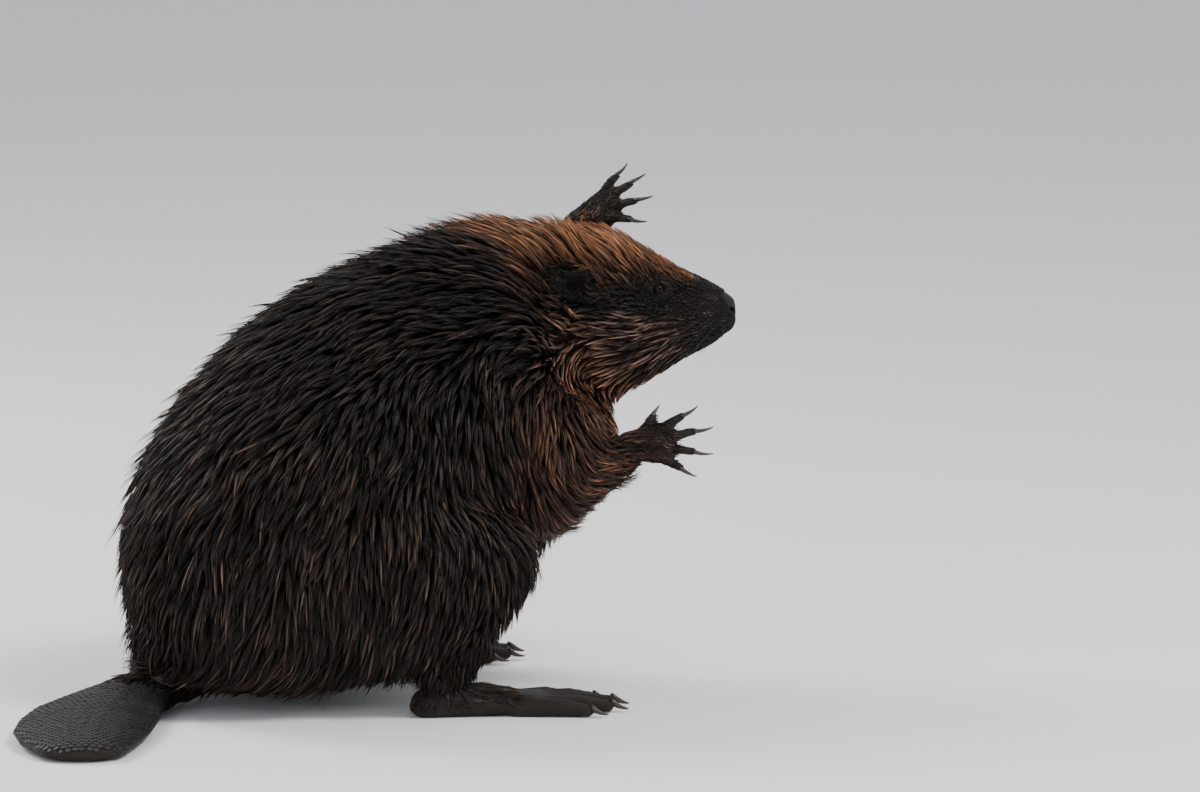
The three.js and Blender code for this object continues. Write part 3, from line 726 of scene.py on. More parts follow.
class BEAVER_PG_coat(bpy.types.PropertyGroup):
    """Sizes and colours of the coat."""

    # The saddle colour is the wet coat's own dark brown, darkened further as painted shade over the
    # shoulders.
    dark_colour: colour_setting(
        "Saddle", "Colour of the wet coat over the shoulders", (0.0100, 0.0063, 0.0046))
    flank_colour: colour_setting(
        "Flank", "Colour of the rump, sides and thighs", (0.0235, 0.0160, 0.0122))
    # Crown and nape: their own reddish brown, lightened as painted sunlight.
    crown_colour: colour_setting("Crown", "Colour of the crown and nape", (0.172, 0.077, 0.035))
    breast_colour: colour_setting("Breast", "Colour of the throat and breast", (0.098, 0.043, 0.023))
    muzzle_colour: colour_setting("Muzzle", "Colour of the muzzle", (0.0240, 0.0211, 0.0207))
    # The band: partly dark fur, partly painted shade by the eye.
    band_colour: colour_setting(
        "Band", "Colour of the band by the eye and of the ear", (0.0072, 0.0054, 0.0048))
    cheek_colour: colour_setting("Cheek", "Colour of the streaked cheek", (0.056, 0.036, 0.027))
    tip_gain: bpy.props.FloatVectorProperty(
        name="Tips", description="How much redder and lighter the locks are at their tips",
        default=(2.3, 1.85, 1.55), size=3, min=0, max=10)
    wet_shine: bpy.props.FloatProperty(
        name="Wet shine", description="How strongly the wet hair reflects",
        default=0.24, min=0, max=1, subtype="FACTOR")
    clump: size_setting(
        "Clump", "Distance between two of the longest locks, each drawn from a patch this wide", 5.6, 1, 40)
    width: size_setting("Width", "Width of one strand of the longest locks", 1.25, 0.2, 10)
    strands: bpy.props.FloatProperty(
        name="Strands", description="How many strands are drawn together into one of the longest locks",
        default=7, min=1, max=40)


class BEAVER_PG_bare(bpy.types.PropertyGroup):
    """Sizes and colours of the bare parts."""

    nose_colour: colour_setting("Nose", "Colour of the bare nose pad", (0.0075, 0.0068, 0.0072))
    paw_colour: colour_setting("Paws", "Colour of the bare skin of paws and feet", (0.014, 0.011, 0.010))
    claw_colour: colour_setting("Claws", "Colour of the claws at their roots", (0.020, 0.0135, 0.0120))
    scale_colour: colour_setting("Scales", "Colour of the tail's scales", (0.0125, 0.0110, 0.0105))
    eye_radius: size_setting("Eye radius", "Radius of each eyeball", 5.6, 1, 20)
    scale_size: size_setting("Scale size", "Width of one scale of the tail", 6.0, 2, 20)


class BEAVER_PG_stage(bpy.types.PropertyGroup):
    """The floor, the light and the camera."""

    floor_colour: colour_setting("Floor", "Colour of the plain floor", (0.80, 0.80, 0.81))
    azimuth: angle_setting("Azimuth", "Where the camera stands round the animal", -20)
    elevation: angle_setting("Elevation", "How high the camera looks down from", 8)
    distance: metre_setting("Distance", "Distance from the camera to the animal", 5.5, 1, 50)
    framed_width: metre_setting("Framed width", "Width of the view at the animal", 0.984, 0.1, 10)


# ---- skin -----------------------------------------------------------------------------------

NOT_FLESH = ("eye_", "fore_claw_", "hind_claw_")
FLESH = [name for name in sorted(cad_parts) if not name.startswith(NOT_FLESH)]
SWELL = 0.4 * MM  # so that neighbouring solids overlap and become one
FORM_VOXEL = 4 * MM
SKIN_VOXEL = 2 * MM
SKIN_TRIANGLES = 186000
HEAD_REACH = (175, 95, 95)  # from the nose tip: back, to each side, and up or down
EYE_OPENING = (5.0, 3.7)  # half width and half height of the opening between the lids
EYE_AXIS = unit(np.array((0.12, 0.90, 0.38)))
NOSE_PAD = (10.2, 16.5, 12.5)
NOSTRIL = (-3.2, 12.0, 4.6)
NOSTRIL_RUN = (-0.62, 0.50, 0.52)


def eye_frame(side):
    """The eye's centre, its axis outward, and the two directions across it, in the head's frame."""
    centre = head_coordinates(middle_of(f"eye_{side}")[None, :])[0]
    axis = mirrored(EYE_AXIS, SIDES[side])
    level = unit(np.cross((0, 0, 1.0), axis))
    return centre, axis, level, np.cross(axis, level)


def around_eye(head, side):
    """Distance round the eye, 1 on the rim of its opening, and height along its axis."""
    centre, axis, level, upright = eye_frame(side)
    away = head - centre
    wide, high = EYE_OPENING
    across, up = away @ level * -SIDES[side], away @ upright
    up = up - 0.12 * across  # the inner corner is the lower one
    height = away @ axis
    return np.hypot(across / wide, up / high) + 99 * (height < -12), height


def nose_reach(head):
    """Distance from the middle of the nose pad, 1 on its oval."""
    return np.sqrt((((head - NOSE_CENTRE / MM) / NOSE_PAD) ** 2).sum(1))


def pad_reach(head):
    """Distance round the bare nose pad, 1 on its edge, which narrows towards the lip."""
    low = smooth_step(1, -12, head[:, 2])
    return nose_reach(head) * (1 + 0.5 * low * np.abs(head[:, 1]) / 12)


def nostril_reach(head, side):
    """Distance from a nostril's slanting slit: 1 on its rim."""
    away = head - mirrored(NOSTRIL, side)
    run = unit(mirrored(NOSTRIL_RUN, side))
    along = away @ run
    across = np.linalg.norm(away - along[:, None] * run, axis=1)
    return np.hypot(across / 2.0, along / 4.4)


def mouth_height(x):
    """Height of the closed mouth, from its corner to under the nose."""
    return np.interp(x, (-58, -40, -4), (-21, -17, -16))


def mouth_groove(head):
    """1 along the line of the closed mouth, falling to 0 on both sides of it."""
    apart = head[:, 2] - mouth_height(head[:, 0])
    span = smooth_step(-60, -48, head[:, 0]) * (head[:, 0] < 2)
    return np.exp(-(apart / 1.3) ** 2) * span


def shape_eyes(head, radius):
    """Lids that close round each eyeball, with a thick rolled rim."""
    for side in SIDES:
        _, axis, _, _ = eye_frame(side)
        ring, height = around_eye(head, side)
        near = (ring < 3.4) & (height > -9)
        ring, height = ring[near], height[near]
        ball = np.sqrt(np.maximum(radius ** 2 - (np.minimum(ring, 1.1) * 4.2) ** 2, 0))
        lid = ball + 0.3 + 1.1 * smooth_step(1.0, 1.25, ring) - 0.9 * smooth_step(1.3, 3.0, ring)
        inside = ball - 2.4
        target = np.where(ring < 0.97, inside, lid)
        fold = 0.25 * np.exp(-((ring - 1.6) / 0.12) ** 2)
        blend = 1 - smooth_step(1.5, 3.3, ring)
        head[near] += ((target - height) * blend - fold)[:, None] * axis


def shape_nose(head):
    """Two slanting nostrils with raised wings, and the groove between them."""
    reach = nose_reach(head)
    front = (reach < 1.6) & (head[:, 0] > -24)
    for side in SIDES.values():
        slit = nostril_reach(head, side)
        pit = 1 - smooth_step(0.35, 1.15, slit)
        wing = np.exp(-((slit - 1.75) / 0.45) ** 2)
        inward = unit(mirrored((0.8, 0.5, -0.25), side))
        head[front] -= ((pit * 4.5 - wing * 0.9)[front])[:, None] * inward
    groove = np.exp(-(head[:, 1] / 0.9) ** 2) * (1 - smooth_step(3, 9, head[:, 2]))
    groove *= smooth_step(-18, -14, head[:, 2])
    head[front, 0] -= groove[front] * 1.3


def shape_ears(head):
    """Hollows the outer face of each ear into a shallow cup with a rolled rim."""
    for side in SIDES.values():
        lean = mirrored(EAR_LEAN, side)
        face = unit(mirrored((0.35, 1, -0.45), side))
        face = unit(face - lean * (face @ lean))
        across = np.cross(lean, face)
        away = head - mirrored(EAR_ROOT, side)
        along, out, wide = away @ lean, away @ face, away @ across
        reach = np.hypot((along - 21) / 13, wide / 9.6)
        cup = (1 - smooth_step(0.45, 1.0, reach)) * (out > -1.0) * (along > 7)
        head -= (cup * 5.6)[:, None] * face


def subdivide_near(mesh, spots):
    """Cuts the faces near each spot finer, so that small features take shape."""
    for place, reach, cuts in spots:
        shape = bmesh.new()
        shape.from_mesh(mesh)
        middles = ((edge, (edge.verts[0].co + edge.verts[1].co) / 2) for edge in shape.edges)
        edges = [edge for edge, middle in middles if (middle - place).length < reach]
        bmesh.ops.subdivide_edges(shape, edges=edges, cuts=cuts, use_grid_fill=True)
        shape.to_mesh(mesh)
        shape.free()


def group_by(piece, name, weights):
    """A vertex group whose weights are rounded to tenths."""
    group = piece.vertex_groups.new(name=name)
    levels = np.round(weights * 10).astype(int)
    for level in range(1, 11):
        indices = np.flatnonzero(levels == level).tolist()
        if indices:
            group.add(indices, level / 10, "REPLACE")


def furry(points):
    """1 where the coat is deep enough to hide the body's creases, 0 where it is short."""
    _, depth, _ = coat_at(points)
    return smooth_step(3.5 * MM, 8 * MM, depth)


def detailed(points, head):
    """True on the face, round the eyes, on the ears and on bare skin, where detail shows."""
    fine = (head[:, 0] > -60) | (bareness(points) > 0.5)
    for side in SIDES:
        fine |= np.linalg.norm(head - eye_frame(side)[0], axis=1) < 14
        fine |= ear_nearness(points, SIDES[side]) > 0.8
    return fine


def skin_masks(mesh):
    """The coat's markings, the bare skin, the nose pad and the hollows that lie in shadow."""
    points = positions(mesh)
    head = head_coordinates(points)
    for name, values in markings(points).items():
        add_mask(mesh, name, values)
    shadow = mouth_groove(head) * 0.7
    for side in SIDES:
        ring, _ = around_eye(head, side)
        slit = nostril_reach(head, SIDES[side])
        shadow = np.maximum(shadow, 1 - smooth_step(0.8, 1.3, slit))
        shadow = np.maximum(shadow, 1 - smooth_step(1.1, 1.6, ring))
    add_mask(mesh, "bare", bareness(points))
    add_mask(mesh, "nose", 1 - smooth_step(1.0, 1.07, pad_reach(head)))
    add_mask(mesh, "shadow", shadow)


def smoothed_form():
    """The solids of flesh as one, without their creases where the coat is deep."""
    form = merged_copy(FLESH, "form", SWELL)
    apply_modifier(form, "REMESH", mode="VOXEL", voxel_size=FORM_VOXEL)
    group_by(form, "furry", furry(positions(form.data)))
    apply_modifier(form, "SMOOTH", factor=0.5, iterations=40, vertex_group="furry")
    return form


def sunk_skin():
    """The solids of flesh as one finer mesh, drawn onto the form and sunk by the coat's depth."""
    form = smoothed_form()
    piece = merged_copy(FLESH, "skin", SWELL)
    coarse = 1.0
    apply_modifier(piece, "REMESH", mode="VOXEL", voxel_size=SKIN_VOXEL * coarse)
    apply_modifier(piece, "SMOOTH", factor=0.5, iterations=6)
    group_by(piece, "furry", furry(positions(piece.data)))
    apply_modifier(piece, "SHRINKWRAP", target=form, vertex_group="furry")
    apply_modifier(piece, "SMOOTH", factor=0.5, iterations=3)
    piece.vertex_groups.clear()
    bpy.data.objects.remove(form)
    points = positions(piece.data)
    _, depth, _ = coat_at(points)
    move_to(piece.data, points - normals_of(piece.data) * depth[:, None])
    apply_modifier(piece, "SMOOTH", factor=0.5, iterations=2)
    return piece


def build_skin(coat, bare):
    """One skin in place of the solids of flesh, with the face, the ears and the nose modelled."""
    piece = sunk_skin()
    mesh = piece.data
    spots = [(Vector(middle_of(f"eye_{side}")), 15 * MM, 3) for side in SIDES]
    spots.append((Vector(in_head((-8, 0, 2))), 22 * MM, 2))
    subdivide_near(mesh, spots)

    points = positions(mesh)
    groove = mouth_groove(head_coordinates(points))
    points -= normals_of(mesh) * (groove * 1.4 * MM)[:, None]
    head = head_coordinates(points)
    near = np.all(np.abs(head) < HEAD_REACH, axis=1)
    local = head[near]
    shape_nose(local)
    shape_ears(local)
    shape_eyes(local, bare.eye_radius / MM)
    points[near] = in_head(local)
    points[:, 2] = np.maximum(points[:, 2], 0)
    move_to(mesh, points)

    group_by(piece, "coarser", 1.0 - detailed(points, head))
    triangles = sum(len(face.vertices) - 2 for face in mesh.polygons)
    if triangles > SKIN_TRIANGLES:
        apply_modifier(piece, "DECIMATE", ratio=SKIN_TRIANGLES / triangles, vertex_group="coarser")
    piece.vertex_groups.clear()
    only(piece)
    bpy.ops.object.shade_smooth()
    skin_masks(piece.data)
    finish_piece(piece, skin_material(coat, bare), FLESH)


# ---- coat -----------------------------------------------------------------------------------

COAT_SEED = 11
GUIDE_LINKS = 6  # points along the guide that each lock's strands follow
CHEEK_ROW = 5.6  # between the rows of locks on the cheeks
FULL_LENGTH = 46 * MM  # the longest locks, whose spacing and width the settings give
CANDIDATES = 9  # points scattered for each lock that is kept
PATCH = 0.003  # width of each strand's patch on the OFBake map
# Half widths of a strand's rings, by the number of points along it, its tip being the last.
PROFILES = {5: (0.7, 1.0, 0.92, 0.6), 4: (0.8, 1.0, 0.65), 3: (0.9, 0.85)}
# The way that the furred back of each forepaw faces, and the wrist that its hair runs from.
PAW_BACKS = {
    "left": ((-0.85, -0.45, 0.26), (168, 88, 374)),
    "right": ((-0.6, -0.78, 0.15), (148, -78, 205)),
}


def surface_tree(mesh):
    """The mesh's faces, to look up the nearest one or the one under a point."""
    points = [vert.co for vert in mesh.vertices]
    faces = [face.vertices for face in mesh.polygons]
    return BVHTree.FromPolygons(points, faces)


def spacing_for(length, coat):
    """How far apart locks of the given length stand: the shorter, the closer."""
    return coat.clump * np.clip(length / FULL_LENGTH, 0.1, 1.2) ** 0.55


def furred(points, normals):
    """True where hair grows."""
    head = head_coordinates(points)
    body = body_coordinates(points)
    keep = pad_reach(head) > 1.0
    for side in SIDES:
        ring, _ = around_eye(head, side)
        keep &= ring > 1.16
    keep &= (mouth_groove(head) < 0.5) | (head[:, 0] < -40)
    for side, (back, wrist) in PAW_BACKS.items():
        low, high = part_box(f"forepaw_{side}")
        inside = np.all((points > np.array(low) - MM) & (points < np.array(high) + MM), axis=1)
        away = np.linalg.norm(points - in_body(wrist), axis=1)
        on_back = normals @ unit(np.array(back)) > 0.3
        keep &= ~inside | (away < 12 * MM) | on_back & (away < 40 * MM)
    foot = (body[:, 2] < 24) & (body[:, 0] > -64) & (np.abs(body[:, 1]) > 84)
    keep &= ~foot | (body[:, 0] < 24) & (normals[:, 2] > 0.25)
    keep &= ~((body[:, 0] < -240) & (body[:, 2] < 24))  # the paddle
    return keep & (points[:, 2] > 3.5 * MM)


def scatter(mesh, coat, chance):
    """Candidate points over the furred skin, closer together where the locks are shorter."""
    mesh.calc_loop_triangles()
    corners = np.empty(len(mesh.loop_triangles) * 3, np.int32)
    mesh.loop_triangles.foreach_get("vertices", corners)
    corners = corners.reshape(-1, 3)
    points, normals = positions(mesh), normals_of(mesh)
    _, _, length = coat_at(points)
    a, b, c = (points[corners[:, i]] for i in range(3))
    area = np.linalg.norm(np.cross(b - a, c - a), axis=1) / 2
    wanted = area / spacing_for(length[corners].mean(1), coat) ** 2
    wanted *= furred(points, normals)[corners].any(1)
    count = int(wanted.sum() * CANDIDATES)
    picked = chance.choice(len(area), count, p=wanted / wanted.sum())
    u, v = chance.random(count), chance.random(count)
    over = u + v > 1
    u[over], v[over] = 1 - u[over], 1 - v[over]
    share = np.column_stack((1 - u - v, u, v))
    where = np.einsum("ij,ijk->ik", share, points[corners[picked]])
    facing = unit(np.einsum("ij,ijk->ik", share, normals[corners[picked]]))
    keep = furred(where, facing)
    return where[keep], facing[keep]


def spread_out(points, spacing):
    """Which points to keep so that no two lie closer than their spacing."""
    tree = KDTree(len(points))
    for i, point in enumerate(points):
        tree.insert(point, i)
    tree.balance()
    alive = np.ones(len(points), bool)
    kept = []
    for i, point in enumerate(points):
        if alive[i]:
            kept.append(i)
            alive[[j for _, j, _ in tree.find_range(point, spacing[i])]] = False
    return np.array(kept)


def snap(tree, points):
    """The nearest points of the surface, and its normals there."""
    where, facing = np.empty_like(points), np.empty_like(points)
    for i, point in enumerate(points):
        where[i], facing[i] = tree.find_nearest(point)[:2]
    return where, facing


def drift_at(points, size):
    """A smooth random value at each point, which changes over the given size."""
    return np.array([noise.noise(Vector(point / size)) for point in points])


def in_rows(points, normals, tree):
    """On the cheeks the wet locks stand in long rows, one behind another."""
    head = head_coordinates(points)
    on_cheek = markings(points)["cheek"]
    slope = np.interp(head[:, 2], (-60, -30, 5), (-0.32, -0.08, 0.1))
    row = head[:, 2] + slope * np.clip(head[:, 0] + 50, -60, 30) + 4 * drift_at(points, 34 * MM)
    off = (row / CHEEK_ROW - np.round(row / CHEEK_ROW)) * CHEEK_ROW * MM
    moved = points - HEAD_AXES[:, 2] * (off * 0.9 * np.minimum(on_cheek * 1.6, 1))[:, None]
    near = on_cheek > 0.1
    points, normals = points.copy(), normals.copy()
    points[near], normals[near] = snap(tree, moved[near])
    return points, normals


def along_surface(vectors, normals):
    """The vectors' directions, turned to lie flat on a surface with the given normals."""
    return unit(vectors - normals * np.einsum("ij,ij->i", vectors, normals)[:, None])


def guide_paths(seeds, normals, tree, chance):
    """One guide for each lock: it follows the lie of the coat and rises to its share of the depth."""
    count = len(seeds)
    lie, depth, length = coat_at(seeds)
    stand = np.clip(np.einsum("ij,ij->i", lie, normals) - 0.05, 0, 0.6) * length * 0.6
    kick = np.abs(chance.normal(0, 0.045, count))
    kick += (chance.random(count) < 0.18) * chance.uniform(0.08, 0.24, count)
    kick *= 1 - 0.55 * smooth_step(20, 90, body_coordinates(seeds)[:, 0])
    lift = chance.uniform(0.80, 1.08, count)
    size = length * chance.uniform(0.82, 1.2, count)
    sway = drift_at(seeds, 38 * MM) * 0.55 + chance.normal(0, 0.11, count)
    place, normal = seeds.copy(), normals.copy()
    path, facing = [seeds], [normals]
    for step in range(1, GUIDE_LINKS):
        share = step / (GUIDE_LINKS - 1)
        towards, depth_here, _ = coat_at(place)
        turned = np.cross(normal, towards)
        towards = along_surface(towards + turned * sway[:, None], normal)
        place, normal = snap(tree, place + towards * (size / (GUIDE_LINKS - 1))[:, None])
        rise = (1 - (1 - share) ** 1.8) * lift * np.maximum((depth + depth_here) / 2, 0.4 * MM)
        rise += (stand + kick * length) * share ** 1.7
        path.append(place + normal * rise[:, None])
        facing.append(normal)
    return np.stack(path, 1), np.stack(facing, 1), length


def strands_of(length, coat, chance):
    """Each lock's strands: side by side at the root, drawn together towards the tip."""
    share = length / FULL_LENGTH
    members = np.round(np.maximum(coat.strands * share + 2.2, 4.6 - 4 * share)).astype(int)
    owner = np.repeat(np.arange(len(length)), members)
    first = np.cumsum(members) - members
    rank = np.arange(len(owner)) - first[owner]
    count = len(owner)
    spread = (rank + chance.uniform(0.2, 0.8, count)) / members[owner] * 2 - 1
    stray = chance.random(count) < 0.07
    spacing = spacing_for(length, coat)[owner]
    top = (chance.random(count) < 0.5) & ~stray
    start = chance.uniform(-0.8, 0.8, count) * spacing / length[owner]
    stray_reach = chance.uniform(0.85, 1.15, count)
    reach = 1.02 - 0.30 * np.abs(spread) * chance.random(count)
    stray_spill = chance.normal(0, 1.0, count)
    spill = chance.normal(0, 0.05, count)
    width = coat.width * np.clip(share[owner], 0.1, 1.2) ** 0.35
    return {
        "owner": owner,
        "spread": spread,
        "top": top,
        "footing": spacing * 0.62,
        "start": start,
        "reach": np.where(stray, stray_reach, reach),
        "spill": np.where(stray, stray_spill, spill),
        "width": width * np.where(stray, 0.45, chance.uniform(0.7, 1.2, count)),
    }


def strand_masks(guides, strand, chance):
    """The markings at each strand's root, and its tone: painted highlight on each lock's ridge, painted
    shade on its sides and lower strands, and lighter in some locks.
    """
    owner = strand["owner"]
    marks = markings(guides[:, 0])
    streaks = np.mean([drift_at(guides[:, i], 6.5 * MM) for i in range(GUIDE_LINKS)], axis=0)
    lock_tone = 0.48 + 1.5 * streaks + 0.35 * drift_at(guides[:, 0], 24 * MM)
    lock_tone += chance.normal(0, 0.10, len(guides))
    lock_tone += 0.2 * marks["cheek"]
    ridge_highlight = 1 - np.abs(strand["spread"])
    # Painted highlight on the middle strands of each lock, painted shade on its outer strands and on the
    # lower strands under the top layer.
    tone = lock_tone[owner] * (0.25 + 0.95 * ridge_highlight) * np.where(strand["top"], 1.0, 0.55)
    masks = {name: values[owner] for name, values in marks.items()}
    calm = 0.62 * masks["crown"] + 0.35 * masks["breast"] + 0.3 * masks["muzzle"]
    tone = tone * (1 - calm) + 0.52 * calm + chance.normal(0, 0.06, len(owner))
    masks["tone"] = np.clip(tone, 0, 1)
    return masks


def strand_links(strand, length):
    """How many points lie along each strand: fewer in short and in lower ones."""
    length = length[strand["owner"]]
    links = np.where(strand["top"], 5, 3)
    links[(length < 24 * MM) & strand["top"]] = 4
    links[length < 13 * MM] = 3
    return links


def follow(guides, facing, strand, chosen, links):
    """Places the chosen strands along their guides, as paths of the given number of points."""
    owner = strand["owner"][chosen]
    start, reach = strand["start"][chosen, None], strand["reach"][chosen, None]
    share = start + (reach - start) * np.linspace(0, 1, links)
    low = np.clip(np.floor(share * (GUIDE_LINKS - 1)), 0, GUIDE_LINKS - 2).astype(int)
    part = (share * (GUIDE_LINKS - 1) - low)[..., None]
    a, b = guides[owner[:, None], low], guides[owner[:, None], low + 1]
    normal = facing[owner[:, None], low] * (1 - part) + facing[owner[:, None], low + 1] * part
    normal = unit(normal)
    side = unit(np.cross(normal, b - a))
    spread = strand["spread"][chosen, None]
    footing = strand["footing"][chosen, None]
    drawn = np.clip(1 - share, 0, 1) ** 0.75
    away = footing * (spread * drawn + strand["spill"][chosen, None] * share ** 2)
    dome = footing * 0.45 * (1 - spread ** 2) * np.clip(share, 0, 1) ** 0.5 * drawn
    dome -= 0.25 * footing * ~strand["top"][chosen, None]
    path = a + (b - a) * part + side * away[..., None] + normal * dome[..., None]
    path[:, 0] -= normal[:, 0] * 0.8 * MM
    path[..., 2] = np.maximum(path[..., 2], 0.8 * MM)
    return path, unit(normal + side * (spread * 0.6)[..., None])


def strand_shape(path, facing, width):
    """Corners of closed, tapering three-sided strands."""
    links = path.shape[1]
    tangent = unit(np.gradient(path, axis=1))
    side = unit(np.cross(tangent, facing))
    up = np.cross(side, tangent)[:, :-1]
    half = (width[:, None] * np.array(PROFILES[links]) / 2)[..., None]
    body, side = path[:, :-1], side[:, :-1]
    ring = np.stack((body - side * half, body + up * half * 1.1, body + side * half), 2)
    return np.concatenate((ring.reshape(len(path), -1, 3), path[:, -1:]), 1)


def strand_faces(links):
    """Faces of one strand, and each corner's place across and along it."""
    rings = links - 1
    faces, maps = [(0, 1, 2)], [((0, 0), (0.5, 0.12), (1, 0))]
    edges = ((0, 0.5), (0.5, 1), (1, 0))
    for r in range(rings):
        low, high = r / rings, (r + 1) / rings
        for j, (ua, ub) in enumerate(edges):
            a, b = r * 3 + j, r * 3 + (j + 1) % 3
            if r == rings - 1:
                faces.append((b, a, rings * 3))
                maps.append(((ub, low), (ua, low), ((ua + ub) / 2, high)))
            else:
                faces += [(b, a, a + 3), (b, a + 3, b + 3)]
                maps += [((ub, low), (ua, low), (ua, high)), ((ub, low), (ua, high), (ub, high))]
    return np.array(faces), np.array(maps)


def even_share(values):
    """Each value's rank, from 0 to 1."""
    order = np.empty(len(values))
    order[np.argsort(values, kind="stable")] = np.arange(len(values))
    return order / max(len(values) - 1, 1)


def patch_places(roots, normals):
    """Where each strand's patch lies on an unwrap of the skin: round it one way, along it the other."""
    away = roots - roots.mean(0)
    _, _, axes = np.linalg.svd(away, full_matrices=False)
    outward = unit(normals + unit(away) * 0.5)
    angle = np.arctan2(outward @ axes[2], outward @ axes[1])
    return np.column_stack((even_share(angle), even_share(away @ axes[0]))) * 0.98 + 0.01


def mesh_of(name, points, triangles):
    """A smooth mesh from arrays of points and of triangles."""
    mesh = bpy.data.meshes.new(name)
    mesh.vertices.add(len(points))
    put(mesh.vertices, "co", points)
    mesh.loops.add(triangles.size)
    mesh.loops.foreach_set("vertex_index", triangles.astype(np.int32).ravel())
    mesh.polygons.add(len(triangles))
    mesh.polygons.foreach_set("loop_start", np.arange(0, triangles.size, 3, dtype=np.int32))
    mesh.polygons.foreach_set("use_smooth", np.ones(len(triangles), bool))
    mesh.update(calc_edges=True)
    return mesh


def strand_mesh(name, batches, masks):
    """One piece of closed strands, with their maps and masks."""
    roots = np.concatenate([path[:, 0] for path, _, _, _ in batches])
    normals = np.concatenate([facing[:, 0] for _, facing, _, _ in batches])
    patches = patch_places(roots, normals)
    verts, faces, strand_map, bake_map = [], [], [], []
    values = {label: [] for label in masks}
    base = done = 0
    for path, facing, width, chosen in batches:
        count = len(path)
        corners = strand_shape(path, facing, width)
        pattern, places = strand_faces(path.shape[1])
        per = corners.shape[1]
        verts.append(corners.reshape(-1, 3))
        offsets = base + np.arange(count) * per
        faces.append((pattern[None] + offsets[:, None, None]).reshape(-1, 3))
        places = places.reshape(1, -1, 2)
        strand_map.append(np.tile(places, (count, 1, 1)).reshape(-1, 2))
        patch = patches[done:done + count, None, :] + (places - 0.5) * PATCH
        bake_map.append(patch.reshape(-1, 2))
        for label in masks:
            values[label].append(np.repeat(masks[label][chosen], per))
        base += count * per
        done += count
    mesh = mesh_of(name, np.concatenate(verts), np.concatenate(faces))
    for label, places in (("strand", strand_map), ("OFBake", bake_map)):
        put(mesh.uv_layers.new(name=label).uv, "vector", np.concatenate(places))
    for label in masks:
        add_mask(mesh, label, np.concatenate(values[label]))
    return new_piece(name, mesh)


def coat_part(points):
    """Which named part of the coat each root belongs to."""
    head = head_coordinates(points)
    body = body_coordinates(points)
    part = np.full(len(points), "coat_rump", dtype=object)
    part[body[:, 0] > -170] = "coat_flank"
    part[body[:, 0] > -70] = "coat_shoulder"
    part[(body[:, 0] > -70) & (body[:, 2] < 170)] = "coat_thigh"
    part[body[:, 0] > 30] = "coat_breast"
    part = part + np.where(body[:, 1] > 0, "_left", "_right")
    part[(head[:, 0] > -160) & (head[:, 2] > -88)] = "coat_nape"
    part[(head[:, 0] > -100) & (head[:, 2] > -80)] = "coat_head"
    return part


def build_coat(coat, skin):
    """Grows the coat's locks from the skin, in one piece for each of its named parts."""
    chance = np.random.default_rng(COAT_SEED)
    tree = surface_tree(skin.data)
    points, normals = scatter(skin.data, coat, chance)
    _, _, length = coat_at(points)
    spacing = spacing_for(length, coat) * 1.0
    kept = spread_out(points, spacing)
    seeds, normals = in_rows(points[kept], normals[kept], tree)
    guides, facing, length = guide_paths(seeds, normals, tree, chance)
    strand = strands_of(length, coat, chance)
    masks = strand_masks(guides, strand, chance)
    links = strand_links(strand, length)
    part = coat_part(guides[:, 0])[strand["owner"]]
    material = coat_material(coat)
    for name in sorted(set(part)):
        batches = []
        for count in PROFILES:
            chosen = np.flatnonzero((part == name) & (links == count))
            if len(chosen):
                path, up = follow(guides, facing, strand, chosen, count)
                batches.append((path, up, strand["width"][chosen], chosen))
        finish_piece(strand_mesh(name, batches, masks), material)


# ---- eyes and claws -------------------------------------------------------------------------

CLAW_STEPS = 11
CLAW_SIDES = 12
CLAW_LENGTH = 20 * MM  # of the pattern claws, which each claw's copy is stretched from
CLAW_SINK = 4 * MM  # how far each claw's root reaches back into its digit
CLAW_DROP = {"fore": 1.6 * MM, "hind": 2.7 * MM}  # and how far it lies under the digit's back
# Half width and half height at the root, and how far the claw arches up at its middle.
CLAW_PATTERNS = {"fore": (2.0, 2.4, 1.2), "hind": (3.4, 3.0, 1.9)}


def build_eyes(bare):
    """Two eyeballs with a bulging cornea, turned to look out between the lids."""
    material = eye_material()
    for side in SIDES:
        deselect_all()
        bpy.ops.mesh.primitive_uv_sphere_add(
            segments=40, ring_count=24, radius=bare.eye_radius, location=(0, 0, 0))
        ball = bpy.context.object
        ball.name = ball.data.name = f"eyeball_{side}"
        _, axis, _, _ = eye_frame(side)
        outward = Vector(HEAD_AXES @ axis)
        turn = np.array(Vector((0, 0, 1)).rotation_difference(outward).to_matrix())
        points = positions(ball.data)
        height = points[:, 2] / bare.eye_radius
        points += unit(points) * (smooth_step(0.72, 1.0, height) * 0.5 * MM)[:, None]
        move_to(ball.data, points @ turn.T + middle_of(f"eye_{side}"))
        iris = smooth_step(0.03, 0.05, 1 - height) * (1 - smooth_step(0.30, 0.34, 1 - height))
        add_mask(ball.data, "iris", iris)
        only(ball)
        bpy.ops.object.shade_smooth()
        finish_piece(ball, material, [f"eye_{side}"])


def claw_line(node):
    """The root, middle and tip of a claw, from the frame's own solid."""
    points = np.array([tuple(vert.co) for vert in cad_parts[node].data.vertices])
    points = np.unique(points.round(6), axis=0)
    centre = points.mean(0)
    _, _, axes = np.linalg.svd(points - centre, full_matrices=False)
    along = (points - centre) @ axes[0]
    around = np.linalg.norm(points - centre - along[:, None] * axes[0], axis=1)
    if around[along > 0].mean() > around[along < 0].mean():
        along = -along
    low, high = along.min(), along.max()
    root = points[along < low + 0.25 * (high - low)].mean(0)
    tip = points[along > high - 0.08 * (high - low)].mean(0)
    inner = np.abs(along - (low + high) / 2) < 0.25 * (high - low)
    middle = points[inner].mean(0) if inner.any() else (root + tip) / 2
    return root, middle, tip


